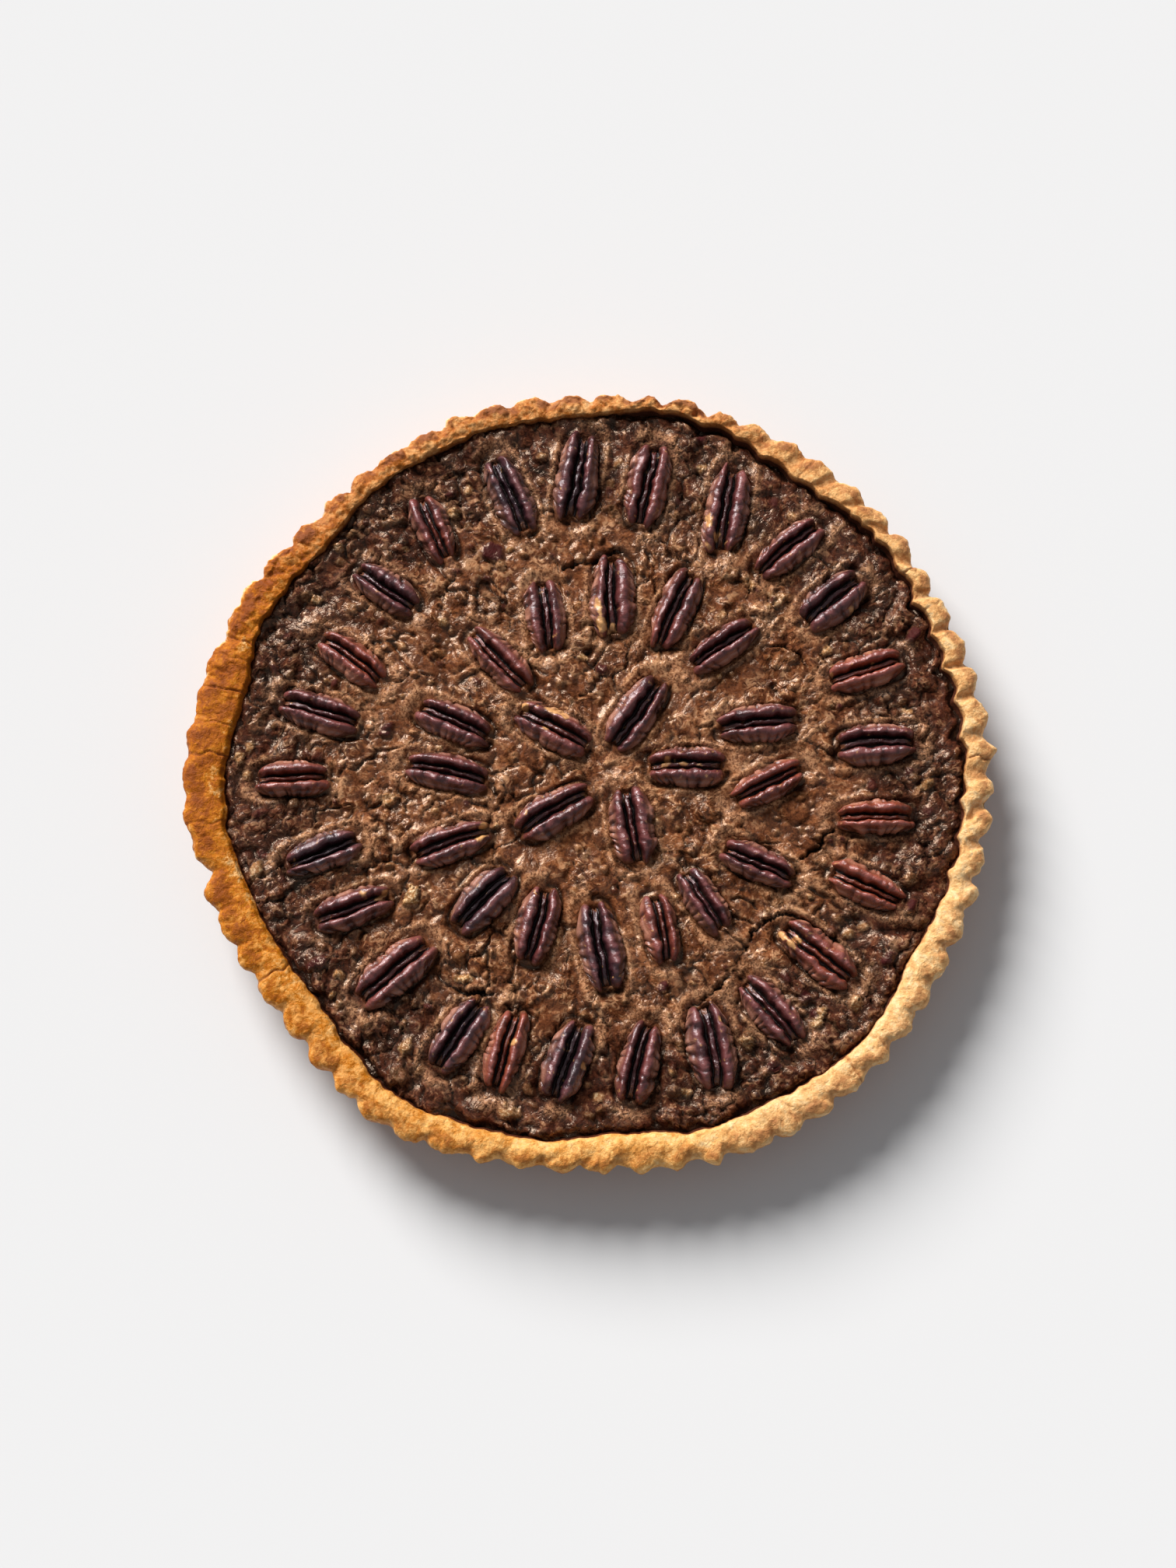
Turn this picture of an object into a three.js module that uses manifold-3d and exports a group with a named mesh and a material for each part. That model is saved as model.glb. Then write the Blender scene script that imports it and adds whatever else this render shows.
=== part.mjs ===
import * as THREE from 'three';
import Module from 'manifold-3d';

// A pecan pie baked in a fluted tart tin: a shortcrust shell, a set filling and 46 pecan halves
// in three rings. Millimetres, +Z up, +Y is the top of the pie as it is looked at from above.
// The origin is the middle of the underside. Bearings are degrees clockwise from +Y.

const wasm = await Module();
wasm.setup();

// Crust
const FLUTES = 64;
const FIRST_FLUTE = 0.8; // bearing of the first flute's tip
const FLUTE_DRIFT = { swing: 2.7, towards: 31 }; // the flutes crowd together on one side
const COLUMNS_PER_FLUTE = 4;
const BASE_RADIUS = 133;
const RIM_HEIGHT = 25;
const WALL_TOP = 21;
const OUTER_SHOULDER = 1.6; // from the crest down to the outer edge
const INNER_SHOULDER = 1.2; // from the crest down to the inner edge
const BASE_THICKNESS = 3.5;
const INNER_WALL_LEAN = 5; // how far the inner wall runs in from rim to base
const FLOOR_BEVEL = 1.2;
const CRUMBLE = 0.35; // unevenness of the baked edge

// Middle of the fluted edge: its radius every 10 degrees of bearing
const RIM_REACH = [
  139, 140.4, 140.9, 141.3, 141.4, 141.2, 139.9, 140.6, 141.4, 142, 141.3, 141.6,
  142.1, 143.5, 144.5, 144.8, 143.6, 141.5, 139.5, 140.3, 141.8, 143.2, 139.6, 137.2,
  137.8, 140.1, 142, 143, 141.1, 140.3, 138.4, 135.9, 135.4, 137.3, 139.2, 140,
];
// Width of the rim's top every 10 degrees of bearing
const RIM_WIDTH = [
  7.5, 6, 6, 8, 8, 6, 6, 6.2, 6.7, 8.2, 8.1, 8.6,
  11, 9.4, 9.3, 12.1, 10.8, 11.9, 10.3, 8.9, 9, 11, 10.8, 12,
  12.9, 13.5, 13.2, 14.8, 15.1, 12.6, 11.3, 9.9, 7.2, 7.3, 8.1, 8.5,
];
// Depth of the flutes, half of tip to valley, every 30 degrees of bearing
const FLUTE_DEPTH = [1.7, 1.9, 2.1, 2.2, 2.1, 2.1, 2, 1.8, 1.6, 1.1, 1.6, 1.8];
// Places where the edge has broken or split
const EDGE_BREAKS = [
  { bearing: 255.7, depth: 3.4, spread: 2.2 },
  { bearing: 290.8, depth: 2, spread: 2 },
  { bearing: 87.4, depth: -1.6, spread: 1.2 },
];

// Filling
const GAP = 0.35; // clearance between pieces that touch
const SLIVER = 0.02; // the smallest side or height that a face keeps
const MOST_MENDS = 200;
const FILLING_EDGE = 21; // height of the top where it meets the crust
const FILLING_CROWN = 1.3; // how much higher the middle stands
const FILLING_BUMP = 0.8;
const BUMP_SIZE = 19;
const FILLING_RINGS = [
  { reach: 0.95, columns: 64 },
  { reach: 0.86, columns: 64 },
  { reach: 0.76, columns: 64 },
  { reach: 0.65, columns: 64 },
  { reach: 0.54, columns: 32 },
  { reach: 0.42, columns: 32 },
  { reach: 0.3, columns: 16 },
  { reach: 0.15, columns: 16 },
];

// Gaps that opened in the filling's skin, as lines of x and y, with width and depth
const SPLITS = [
  { width: 2.6, depth: 2.2, line: [[-48, -76], [-44, -79], [-38, -78], [-32, -80.5]] },
  { width: 1.4, depth: 1.4, line: [[-31, -82.5], [-24, -85], [-17.5, -88]] },
  { width: 2.4, depth: 2, line: [[53, -69], [57, -57], [62, -52.5], [72, -50.5]] },
  { width: 2, depth: 1.8, line: [[33, -84.5], [42, -79.5], [52, -70.5]] },
  { width: 2.2, depth: 2, line: [[73, -32], [80, -27.6], [87, -26.8]] },
  { width: 2.4, depth: 2, line: [[-12, 75.5], [-4, 77.6], [4, 79], [14, 81.5]] },
  { width: 1.4, depth: 1.4, line: [[61, 44.5], [70, 46.5], [75.5, 43], [77.5, 38.5]] },
  { width: 1.4, depth: 1.3, line: [[-32.5, -1], [-33, -10]] },
];

// Chopped nut and skin that stand out of the filling: x, y, length, width, height, turn
const CHIPS = [
  [-61.5, -44.5, 9, 6, 2.6, 70],
  [-70, -10, 6, 5, 2.2, 20],
  [-66.5, -21, 5, 4, 2, 50],
  [-116, -35, 8, 5, 2.2, 80],
  [-27, -120, 9, 4.5, 2, 0],
  [-45, -66, 4.5, 4, 2, 0],
  [-43, -73.5, 8, 3, 2, 5],
  [26, -76, 5, 4, 2, 40],
  [80, -87, 9, 3.6, 2.4, 60],
  [-123, 5, 5, 4, 1.8, 90],
  [91, -57.5, 5, 4, 2, 30],
  [72, 42, 6, 5, 1.8, 10],
  [51, 72, 7, 6, 2.2, 0],
  [68, 62.5, 6, 5, 2, 80],
  [-34, 80.5, 10, 7, 2.4, 170],
  [41, 123, 5, 4, 2, 20],
  [-71, 15, 6, 4.5, 2, 50],
  [4.5, 37, 5, 4, 1.8, 0],
  [116, 50, 7, 5, 2.4, 45],
  [-94, -68, 9, 4.5, 2, 25],
  [104.5, -66.5, 8, 4, 2, 40],
  [113, -48, 6, 4, 2, 60],
  [-63, -97, 8, 4, 2, 55],
  [-65, -107, 8, 6, 2, 140],
  [64, -104, 7, 4, 2, 20],
  [93, -82, 6, 5, 2.2, 70],
  [-70, 92, 9, 5, 2, 20],
];

// Pecan halves: x and y of the middle, direction of the outer end from +X, length, width
const PECAN_HEIGHT = 8.4;
const PECAN_SINK = 2.8; // how deep a half sits in the filling
const PECANS = {
  outer: [
    [-3.3, 109, 81, 35, 15.5],
    [21, 105.5, 79, 33, 14.5],
    [49.5, 97, 78, 35, 15.5],
    [72, 82, 40, 30, 13],
    [88, 62, 40, 28, 15],
    [98.5, 37, 18, 29.5, 13],
    [102, 9.5, 5, 29.5, 14.5],
    [101, -16.7, 2, 28.5, 12.5],
    [97, -41.5, -25, 29, 13],
    [80, -64.5, -41, 32.5, 14.5],
    [63, -85, -49, 29.5, 14],
    [41.5, -97, -79, 32, 16.5],
    [18, -102.7, -104, 30, 14],
    [-7, -102, -112, 30, 14.5],
    [-28, -98.5, -105, 30, 12.5],
    [-45, -93, -125, 29.5, 14],
    [-67, -71, -139, 33, 15.5],
    [-82, -48.5, -160, 29.5, 13],
    [-93, -29, -160, 28.5, 13],
    [-104, -3, -178, 27, 12.5],
    [-94.7, 22, 162, 31, 13.5],
    [-84, 41, 144, 28.5, 12.5],
    [-72.5, 66.5, 146, 27, 13],
    [-55, 89.5, 113, 27, 13],
    [-28, 101.7, 113, 32, 14],
  ],
  middle: [
    [9.7, 64.3, 89, 31, 16],
    [31.7, 59, 67, 32, 13.5],
    [48.5, 45.5, 36, 29, 11.5],
    [60, 16.5, 6, 30, 13.5],
    [63.5, -5, 27, 28, 12],
    [59.5, -33, -25, 28.5, 12.5],
    [40, -46.5, -57, 26.5, 12],
    [25, -56, -77, 26, 12.5],
    [4.3, -62, -78, 33, 15],
    [-17.3, -54.8, -103, 29, 14],
    [-36, -46.3, -132, 28.5, 14],
    [-48, -25.3, -161, 30, 13],
    [-49.5, 0, 168, 31, 13],
    [-47.5, 17.5, 158, 29, 13],
    [-31.3, 40.8, 133, 30, 13],
    [-14.5, 57, 97, 28, 14.5],
  ],
  inner: [
    [17.5, 21, 57, 31.5, 14.5],
    [34.7, 1.3, -1, 28.5, 14.5],
    [15.5, -19.5, -83, 29, 15.5],
    [-12, -14, -151, 30.5, 14.5],
    [-12.5, 15.5, 152, 30, 14],
  ],
};
// Cross-section of a half from its left foot over the ridges to its right foot: shares of half
// the width and of the height. Two broad ridges stand either side of a thin one.
const PECAN_SECTION = [
  [-0.55, 0], [-1, 0.32], [-0.84, 0.74], [-0.52, 1], [-0.25, 0.58],
  [0, 0.82],
  [0.25, 0.58], [0.52, 1], [0.84, 0.74], [1, 0.32], [0.55, 0],
];
const PECAN_STATIONS = [-0.86, -0.46, 0, 0.46, 0.86];
const PECAN_TILT = 4; // the most a half leans, in degrees
const SEAT_ROOM = 0.6; // room round a half in the hollow it sits in

// Finishes
const FINISH = {
  crust: { color: 0xd9a05a, roughness: 0.75 },
  filling: { color: 0x5f3f28, roughness: 0.7 },
  pecan: { color: 0x5a2f2c, roughness: 0.45 },
};

const radians = (degrees) => (degrees * Math.PI) / 180;

// The same draws every time
function drawer(seed) {
  let state = seed;
  return (low, high) => {
    state = (state + 0x6d2b79f5) | 0;
    let t = Math.imul(state ^ (state >>> 15), 1 | state);
    t = (t + Math.imul(t ^ (t >>> 7), 61 | t)) ^ t;
    return low + ((high - low) * ((t ^ (t >>> 14)) >>> 0)) / 4294967296;
  };
}

// Smooth curve through readings spread evenly round the pie
function around(readings, bearing) {
  const count = readings.length;
  const place = (((bearing % 360) + 360) % 360) / (360 / count);
  const here = Math.floor(place);
  const step = place - here;
  const at = (k) => readings[(here + k + count) % count];
  const slopeHere = (at(1) - at(-1)) / 2;
  const slopeNext = (at(2) - at(0)) / 2;
  const cube = 2 * at(0) - 2 * at(1) + slopeHere + slopeNext;
  const square = 3 * at(1) - 3 * at(0) - 2 * slopeHere - slopeNext;
  return at(0) + step * (slopeHere + step * (square + step * cube));
}

// Smooth bumps over the plane, from -1 to 1
function bumps(x, y, size) {
  const corner = (i, j) => drawer(i * 7919 + j * 104729 + 17)(-1, 1);
  const u = x / size;
  const v = y / size;
  const i = Math.floor(u);
  const j = Math.floor(v);
  const ease = (t) => t * t * (3 - 2 * t);
  const low = THREE.MathUtils.lerp(corner(i, j), corner(i + 1, j), ease(u - i));
  const high = THREE.MathUtils.lerp(corner(i, j + 1), corner(i + 1, j + 1), ease(u - i));
  return THREE.MathUtils.lerp(low, high, ease(v - j));
}

// A closed solid from rings of points. They run clockwise seen from above, from the underside
// out, up and in again, and a ring has as many points as the last, half as many or twice.
function ringSolid(start, rings, end) {
  const points = [start];
  const faces = [];
  const starts = rings.map((ring) => {
    points.push(...ring);
    return points.length - ring.length;
  });
  points.push(end);
  const corner = (ring, k) => starts[ring] + (k % rings[ring].length);
  rings[0].forEach((_, k) => faces.push([0, corner(0, k), corner(0, k + 1)]));
  for (let ring = 0; ring + 1 < rings.length; ring += 1) {
    const low = (k) => corner(ring, k);
    const high = (k) => corner(ring + 1, k);
    const steps = Math.min(rings[ring].length, rings[ring + 1].length);
    for (let k = 0; k < steps; k += 1) {
      if (rings[ring].length > steps) {
        faces.push([low(2 * k), high(k), low(2 * k + 1)]);
        faces.push([low(2 * k + 1), high(k + 1), low(2 * k + 2)]);
        faces.push([low(2 * k + 1), high(k), high(k + 1)]);
      } else if (rings[ring + 1].length > steps) {
        faces.push([low(k), high(2 * k), high(2 * k + 1)]);
        faces.push([low(k + 1), high(2 * k + 1), high(2 * k + 2)]);
        faces.push([low(k), high(2 * k + 1), low(k + 1)]);
      } else {
        faces.push([low(k), high(k), high(k + 1)]);
        faces.push([low(k), high(k + 1), low(k + 1)]);
      }
    }
  }
  const last = rings.length - 1;
  rings[last].forEach((_, k) => faces.push([points.length - 1, corner(last, k + 1), corner(last, k)]));
  return { points, faces };
}

// Convex solid between a lower and an upper outline, each with its points in the same order
function prism(lower, upper) {
  const middle = (outline) => outline
    .reduce((sum, p) => sum.add(p), new THREE.Vector3())
    .divideScalar(outline.length);
  return ringSolid(middle(lower), [lower, upper], middle(upper));
}

function toManifold({ points, faces }) {
  return new wasm.Manifold(new wasm.Mesh({
    numProp: 3,
    vertProperties: new Float32Array(points.flatMap((p) => [p.x, p.y, p.z])),
    triVerts: new Uint32Array(faces.flat()),
  }));
}

// Lengths of a face's sides, the first from its first corner to its second
function sides(points, face) {
  return face.map((corner, k) => points[corner].distanceTo(points[face[(k + 1) % 3]]));
}

function flatness(points, face) {
  const [a, b, c] = face.map((corner) => points[corner]);
  return new THREE.Triangle(a, b, c).getArea() * 2 / Math.max(...sides(points, face));
}

// Closes up one side shorter than SLIVER, if there is one
function closeShortSide(points, faces) {
  const short = faces.flatMap((face) => sides(points, face).map((side, k) => ({ side, face, k })))
    .find(({ side }) => side < SLIVER);
  if (!short) return null;
  const stays = short.face[short.k];
  const goes = short.face[(short.k + 1) % 3];
  return faces
    .map((face) => face.map((corner) => (corner === goes ? stays : corner)))
    .filter((face) => new Set(face).size === 3);
}

// Turns the long side of one face flatter than SLIVER, if there is one that can be turned
function turnFlatFace(points, faces) {
  const owner = new Map(faces.flatMap((face) => face.map(
    (corner, k) => [`${corner} ${face[(k + 1) % 3]}`, face],
  )));
  for (const face of faces.filter((each) => flatness(points, each) < SLIVER)) {
    const lengths = sides(points, face);
    const k = lengths.indexOf(Math.max(...lengths));
    const [a, b, c] = [face[k], face[(k + 1) % 3], face[(k + 2) % 3]];
    const other = owner.get(`${b} ${a}`);
    const d = other.find((corner) => corner !== a && corner !== b);
    if (!owner.has(`${c} ${d}`) && !owner.has(`${d} ${c}`)) {
      return [...faces.filter((each) => each !== face && each !== other), [a, d, c], [d, b, c]];
    }
  }
  return null;
}

// The same surface with the slivers that cutting leaves taken out
function withoutSlivers(points, faces) {
  let kept = faces;
  [closeShortSide, turnFlatFace].forEach((mend) => {
    for (let next = kept, turn = 0; next && turn < MOST_MENDS; turn += 1) {
      kept = next;
      next = mend(points, kept);
    }
  });
  return kept;
}

function toMesh(name, points, faces, finish) {
  const geometry = new THREE.BufferGeometry();
  const coordinates = points.flatMap((p) => [p.x, p.y, p.z]);
  geometry.setAttribute('position', new THREE.Float32BufferAttribute(coordinates, 3));
  geometry.setIndex(faces.flat());
  geometry.computeVertexNormals();
  const material = new THREE.MeshStandardMaterial({ ...finish, metalness: 0, flatShading: true });
  const mesh = new THREE.Mesh(geometry, material);
  mesh.name = name;
  return mesh;
}

const onBearing = (bearing, reach, height) => new THREE.Vector3(
  reach * Math.sin(radians(bearing)),
  reach * Math.cos(radians(bearing)),
  height,
);

// Bearings of the crust's columns, a tip first in every flute
function fluteColumns() {
  const count = FLUTES * COLUMNS_PER_FLUTE;
  return Array.from({ length: count }, (_, k) => {
    const even = FIRST_FLUTE + (360 * k) / count;
    return even + FLUTE_DRIFT.swing * Math.cos(radians(even - FLUTE_DRIFT.towards));
  });
}

// Out at a tip, in at a valley: the lobes are round and the valleys sharper
const FLUTE_WAVE = [1, 0.3, -1, 0.3];

function edgeBreak(bearing) {
  return EDGE_BREAKS.reduce((sum, hurt) => {
    const off = ((bearing - hurt.bearing + 540) % 360) - 180;
    return sum + hurt.depth * Math.exp(-((off / hurt.spread) ** 2));
  }, 0);
}

const rimInner = (bearing) => around(RIM_REACH, bearing) - around(RIM_WIDTH, bearing);

// Crust: a fluted shell with a flat base, a rounded rim and an inner wall that leans in
function crust() {
  const draw = drawer(31);
  const columns = fluteColumns();
  const outside = columns.map((bearing, k) => {
    const wave = FLUTE_WAVE[k % COLUMNS_PER_FLUTE] * around(FLUTE_DEPTH, bearing);
    const edge = around(RIM_REACH, bearing) - edgeBreak(bearing) + draw(-CRUMBLE, CRUMBLE);
    return { bearing, wave, edge };
  });
  const ring = (reach, height, uneven) => outside.map((column) => onBearing(
    column.bearing,
    reach(column),
    height + draw(-uneven, uneven),
  ));
  const flare = (share) => ({ bearing, wave, edge }) => {
    const foot = BASE_RADIUS + 0.5 * (around(RIM_REACH, bearing) - RIM_REACH[0]);
    return foot + share * (edge - foot) + wave * (0.75 + 0.25 * share);
  };
  const crest = ({ bearing, wave, edge }) => edge - 0.4 * around(RIM_WIDTH, bearing) + 0.35 * wave;
  const lip = ({ bearing, wave }) => rimInner(bearing) + 0.25 * wave;
  const everySecond = (_, k) => k % 2 === 0;
  const inner = (inset, height) => outside
    .filter(everySecond)
    .map(({ bearing }) => onBearing(bearing, rimInner(bearing) - inset, height));
  const rings = [
    ring((column) => flare(0)(column) - FLOOR_BEVEL, 0, 0).filter(everySecond),
    ring(flare(0), FLOOR_BEVEL, 0),
    ring(flare(1), WALL_TOP, CRUMBLE),
    ring((column) => flare(1)(column) - 1.2, RIM_HEIGHT - OUTER_SHOULDER, CRUMBLE),
    ring(crest, RIM_HEIGHT, CRUMBLE),
    ring(lip, RIM_HEIGHT - INNER_SHOULDER, CRUMBLE),
    inner(0.8, FILLING_EDGE + 1),
    inner(INNER_WALL_LEAN, BASE_THICKNESS),
  ];
  const { points, faces } = ringSolid(
    new THREE.Vector3(0, 0, 0),
    rings,
    new THREE.Vector3(0, 0, BASE_THICKNESS),
  );
  return toMesh('crust', points, faces, FINISH.crust);
}

// Height of the filling's top
function fillingTop(x, y) {
  const share = Math.min(Math.hypot(x, y) / rimInner(0), 1);
  const crown = FILLING_CROWN * (1 - share ** 3);
  return FILLING_EDGE + crown + FILLING_BUMP * (1 - share ** 8) * bumps(x, y, BUMP_SIZE);
}

// The filling before anything is pressed into it
function fillingBlank() {
  const columns = fluteColumns().filter((_, k) => k % 2 === 0);
  const wall = (height) => columns.map((bearing) => {
    const depth = (FILLING_EDGE + 1 - height) / (FILLING_EDGE + 1 - BASE_THICKNESS);
    const inset = 0.8 + depth * (INNER_WALL_LEAN - 0.8) + GAP;
    return onBearing(bearing, rimInner(bearing) - inset, height);
  });
  const top = FILLING_RINGS.map(({ reach, columns: count }) => columns
    .filter((_, k) => k % (columns.length / count) === 0)
    .map((bearing) => {
      const point = onBearing(bearing, reach * rimInner(bearing), 0);
      point.z = fillingTop(point.x, point.y);
      return point;
    }));
  return ringSolid(
    new THREE.Vector3(0, 0, BASE_THICKNESS + GAP),
    [wall(BASE_THICKNESS + GAP), wall(FILLING_EDGE), ...top],
    new THREE.Vector3(0, 0, fillingTop(0, 0)),
  );
}

// Where a pecan half lies and how it leans
function pecanPose([x, y, direction, length, width], draw) {
  const lean = new THREE.Euler(
    radians(draw(-PECAN_TILT, PECAN_TILT)),
    radians(draw(-PECAN_TILT, PECAN_TILT) * 0.6),
    radians(direction),
    'ZYX',
  );
  const place = new THREE.Matrix4().makeRotationFromEuler(lean);
  place.setPosition(x, y, fillingTop(x, y) - PECAN_SINK);
  return { place, length, width, taper: draw(-0.08, 0.08), bow: draw(-0.05, 0.05) };
}

const pecanPlan = (t) => (1 - Math.abs(t) ** 2.6) ** 0.45;
const pecanCrown = (t) => 0.3 + 0.7 * (1 - Math.abs(t) ** 3) ** 0.6;

// Pecan half: a boat-shaped body with two ridges, two grooves and a thin ridge between them
function pecan(name, { place, length, width, taper, bow }, draw) {
  const rings = PECAN_STATIONS.map((t) => PECAN_SECTION.map(([across, up]) => {
    const half = (width / 2) * pecanPlan(t) * (1 + taper * t);
    const side = half * across + bow * width * (1 - t * t);
    const height = PECAN_HEIGHT * (up === 0 ? 0.2 * (1 - pecanCrown(t)) : up * pecanCrown(t));
    const wobble = up === 0 ? 0 : draw(-0.12, 0.12);
    return new THREE.Vector3((length / 2) * t, side, height + wobble).applyMatrix4(place);
  }));
  const tip = (t) => new THREE.Vector3((length / 2) * t, 0, 0.34 * PECAN_HEIGHT).applyMatrix4(place);
  const { points, faces } = ringSolid(tip(-1), rings, tip(1));
  return toMesh(name, points, faces, FINISH.pecan);
}

// The hollow that a half sits in, open to the top
function pecanSeat({ place, length, width, taper, bow }) {
  const corners = [
    [-0.6, 1], [0.6, 1], [1, 0.36], [1, -0.36],
    [0.6, -1], [-0.6, -1], [-1, -0.36], [-1, 0.36],
  ];
  const outline = (height) => corners.map(([along, across]) => {
    const half = (width / 2 + SEAT_ROOM) * (1 + taper * along) * across;
    const side = half + bow * width * (1 - along * along);
    return new THREE.Vector3((length / 2 + SEAT_ROOM) * along, side, height).applyMatrix4(place);
  });
  return prism(outline(-GAP), outline(2 * PECAN_HEIGHT));
}

// A wedge that cuts a split along a line
function splitCutter({ width, depth, line }) {
  const last = line.length - 1;
  const rings = line.map(([x, y], k) => {
    const [ax, ay] = line[Math.max(k - 1, 0)];
    const [bx, by] = line[Math.min(k + 1, last)];
    const along = new THREE.Vector2(bx - ax, by - ay).normalize();
    const half = (width / 2) * (k === 0 || k === last ? 0.3 : 1);
    const top = fillingTop(x, y);
    const reach = top + 2 * FILLING_BUMP;
    const grow = 1 + (reach - top) / depth;
    return [
      new THREE.Vector3(x + along.y * half * grow, y - along.x * half * grow, reach),
      new THREE.Vector3(x - along.y * half * grow, y + along.x * half * grow, reach),
      new THREE.Vector3(x, y, top - depth),
    ];
  });
  const middle = (ring) => ring.reduce((sum, p) => sum.add(p), new THREE.Vector3()).divideScalar(3);
  return ringSolid(middle(rings[0]), rings, middle(rings[last]));
}

// A broken bit, wider below than above, sunk a little in the filling
function chip([x, y, length, width, height, turn], draw) {
  const corners = 4;
  const base = fillingTop(x, y);
  const outline = (share, z) => Array.from({ length: corners }, (_, k) => {
    const angle = (-2 * Math.PI * k) / corners + draw(-0.2, 0.2);
    const along = (length / 2) * share * Math.cos(angle);
    const across = (width / 2) * share * Math.sin(angle);
    return new THREE.Vector3(
      x + along * Math.cos(radians(turn)) - across * Math.sin(radians(turn)),
      y + along * Math.sin(radians(turn)) + across * Math.cos(radians(turn)),
      z + draw(-0.2, 0.2),
    );
  });
  return prism(outline(1, base - 1.5), outline(draw(0.5, 0.7), base + height));
}

// Filling: the blank with its chips, its splits and a seat for every half, less any loose scrap
function filling(poses) {
  const draw = drawer(53);
  let solid = toManifold(fillingBlank());
  CHIPS.forEach((bit) => {
    solid = solid.add(toManifold(chip(bit, draw)));
  });
  [...SPLITS.map(splitCutter), ...poses.map(pecanSeat)].forEach((cutter) => {
    solid = solid.subtract(toManifold(cutter));
  });
  const [whole] = solid.decompose().sort((a, b) => b.volume() - a.volume());
  const { vertProperties, triVerts, numVert, numTri } = whole.getMesh();
  const points = Array.from(
    { length: numVert },
    (_, k) => new THREE.Vector3().fromArray(vertProperties, 3 * k),
  );
  const faces = Array.from({ length: numTri }, (_, k) => [...triVerts.slice(3 * k, 3 * k + 3)]);
  return toMesh('filling', points, withoutSlivers(points, faces), FINISH.filling);
}

function build() {
  const draw = drawer(7);
  const group = new THREE.Group();
  const halves = Object.entries(PECANS).flatMap(([ring, rows]) => rows.map((row, k) => ({
    name: `pecan_${ring}_${String(k + 1).padStart(2, '0')}`,
    pose: pecanPose(row, draw),
  })));
  group.add(crust());
  group.add(filling(halves.map(({ pose }) => pose)));
  halves.forEach(({ name, pose }) => group.add(pecan(name, pose, draw)));
  return group;
}

export default build();
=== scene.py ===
import math

import bpy
import numpy as np
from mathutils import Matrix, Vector
from mathutils.bvhtree import BVHTree


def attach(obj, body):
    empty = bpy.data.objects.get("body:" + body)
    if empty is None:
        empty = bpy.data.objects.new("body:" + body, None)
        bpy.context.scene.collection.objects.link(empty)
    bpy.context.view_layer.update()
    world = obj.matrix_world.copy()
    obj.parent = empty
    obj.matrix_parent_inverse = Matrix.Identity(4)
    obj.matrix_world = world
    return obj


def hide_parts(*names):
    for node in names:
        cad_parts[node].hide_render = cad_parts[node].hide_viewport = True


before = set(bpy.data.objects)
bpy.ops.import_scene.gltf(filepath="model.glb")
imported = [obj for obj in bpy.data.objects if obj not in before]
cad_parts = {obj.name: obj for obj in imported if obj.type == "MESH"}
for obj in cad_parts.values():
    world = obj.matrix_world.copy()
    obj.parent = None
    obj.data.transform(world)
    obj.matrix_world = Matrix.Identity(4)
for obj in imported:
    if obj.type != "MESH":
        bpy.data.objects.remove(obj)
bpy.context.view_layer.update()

# A pecan pie in its fluted shortcrust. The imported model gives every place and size: lengths here are
# millimetres until a mesh is made, bearings are degrees clockwise from +Y.

MM = 0.001
BODY = "root"

# Camera, set to the photograph's view: almost straight above
CAMERA_ELEVATION = 78.0
CAMERA_DISTANCE = 1.0
CAMERA_TARGET = (0.0, -0.004, 0.020)
CAMERA_FOCAL_PX = 3643.0
PHOTO_LONG_SIDE_PX = 2016
SENSOR = 36.0

# Light: a soft sun from the upper left and a pale sky
SUN_BEARING = 328.0
SUN_ELEVATION = 33.0
SUN_SPREAD = 30.0
SUN_STRENGTH = 5.25
SUN_COLOUR = (1.0, 0.985, 0.955)
SKY_STRENGTH = 0.23
SKY_COLOUR = (0.94, 0.97, 1.0)
FLOOR_COLOUR = (0.79, 0.79, 0.805)
FLOOR_HALF = 6.0
FLOOR_DROP = 0.0002

# Crust
CRUST_COLUMNS = 2048
RIM_ROWS = 24
WALL_ROWS = 8
CRUST_FOOT_Z = 1.5
CRUST_WALL_Z = 20.2
CRUST_LIP_Z = 22.2
CRUST_CREST_SHARE = 0.4
CRUST_FLOOR_Z = 3.6
RIM_SHOULDER_Z = 21.2
RIM_RISE = 3.8
RIM_RADIUS = 140
LIP_RADIUS = 124
ARC_PER_DEGREE = 2.44
RAY_START = 200.0
# How much further out the rim's inner edge runs than the model's, every 5 degrees, measured in the photo
LIP_SHIFT = (
    0.6, 1.6, 1.9, 1.3, 1.9, 0.9, -0.5, -1.2, -0.8, -0.5, -0.3, 0.6, -0.1, -0.6, -1.2, -0.9, -0.2, -0.3,
    0.1, 0.5, 0.4, -0.5, -0.5, 0.1, -0.2, 0.2, 0.1, 0.0, 0.1, -0.9, 0.7, 0.2, 0.9, 1.1, 0.1, -0.8,
    -0.3, 0.7, -0.1, -0.4, -1.6, -0.4, 0.4, 0.5, -0.2, -0.8, 0.2, 0.9, 0.4, 1.1, 0.5, -0.3, -0.1, 0.5,
    0.3, 0.4, 0.0, -1.3, -0.1, 0.9, 0.2, 0.4, -0.5, -1.2, 0.5, -0.1, -0.1, -0.6, -0.3, 0.5, -0.1, 0.5,
)
RIM_CRACKS = (35.5, 57.5, 64, 88, 133.5, 139, 150, 236.5, 262, 272.5, 277.5, 283, 288, 291)
RIM_CRACK_WIDTH = 0.32
# Stretches of the rim: middle bearing, reach to each side and fade, all in degrees
CRUMBLY = (335, 58, 22)
BROAD = (262, 46, 20)
RIBBON = (55, 56, 16)
PLEATED_LIP = (62, 60, 14)
DEEP_GOLD = (232, 88, 34)
# Stretches where the folds lean round the pie, each with how many degrees they lean
LEANING = ((1.6, (35, 30, 10)), (-3.0, (122, 34, 12)), (2.6, (190, 36, 12)))
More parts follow.
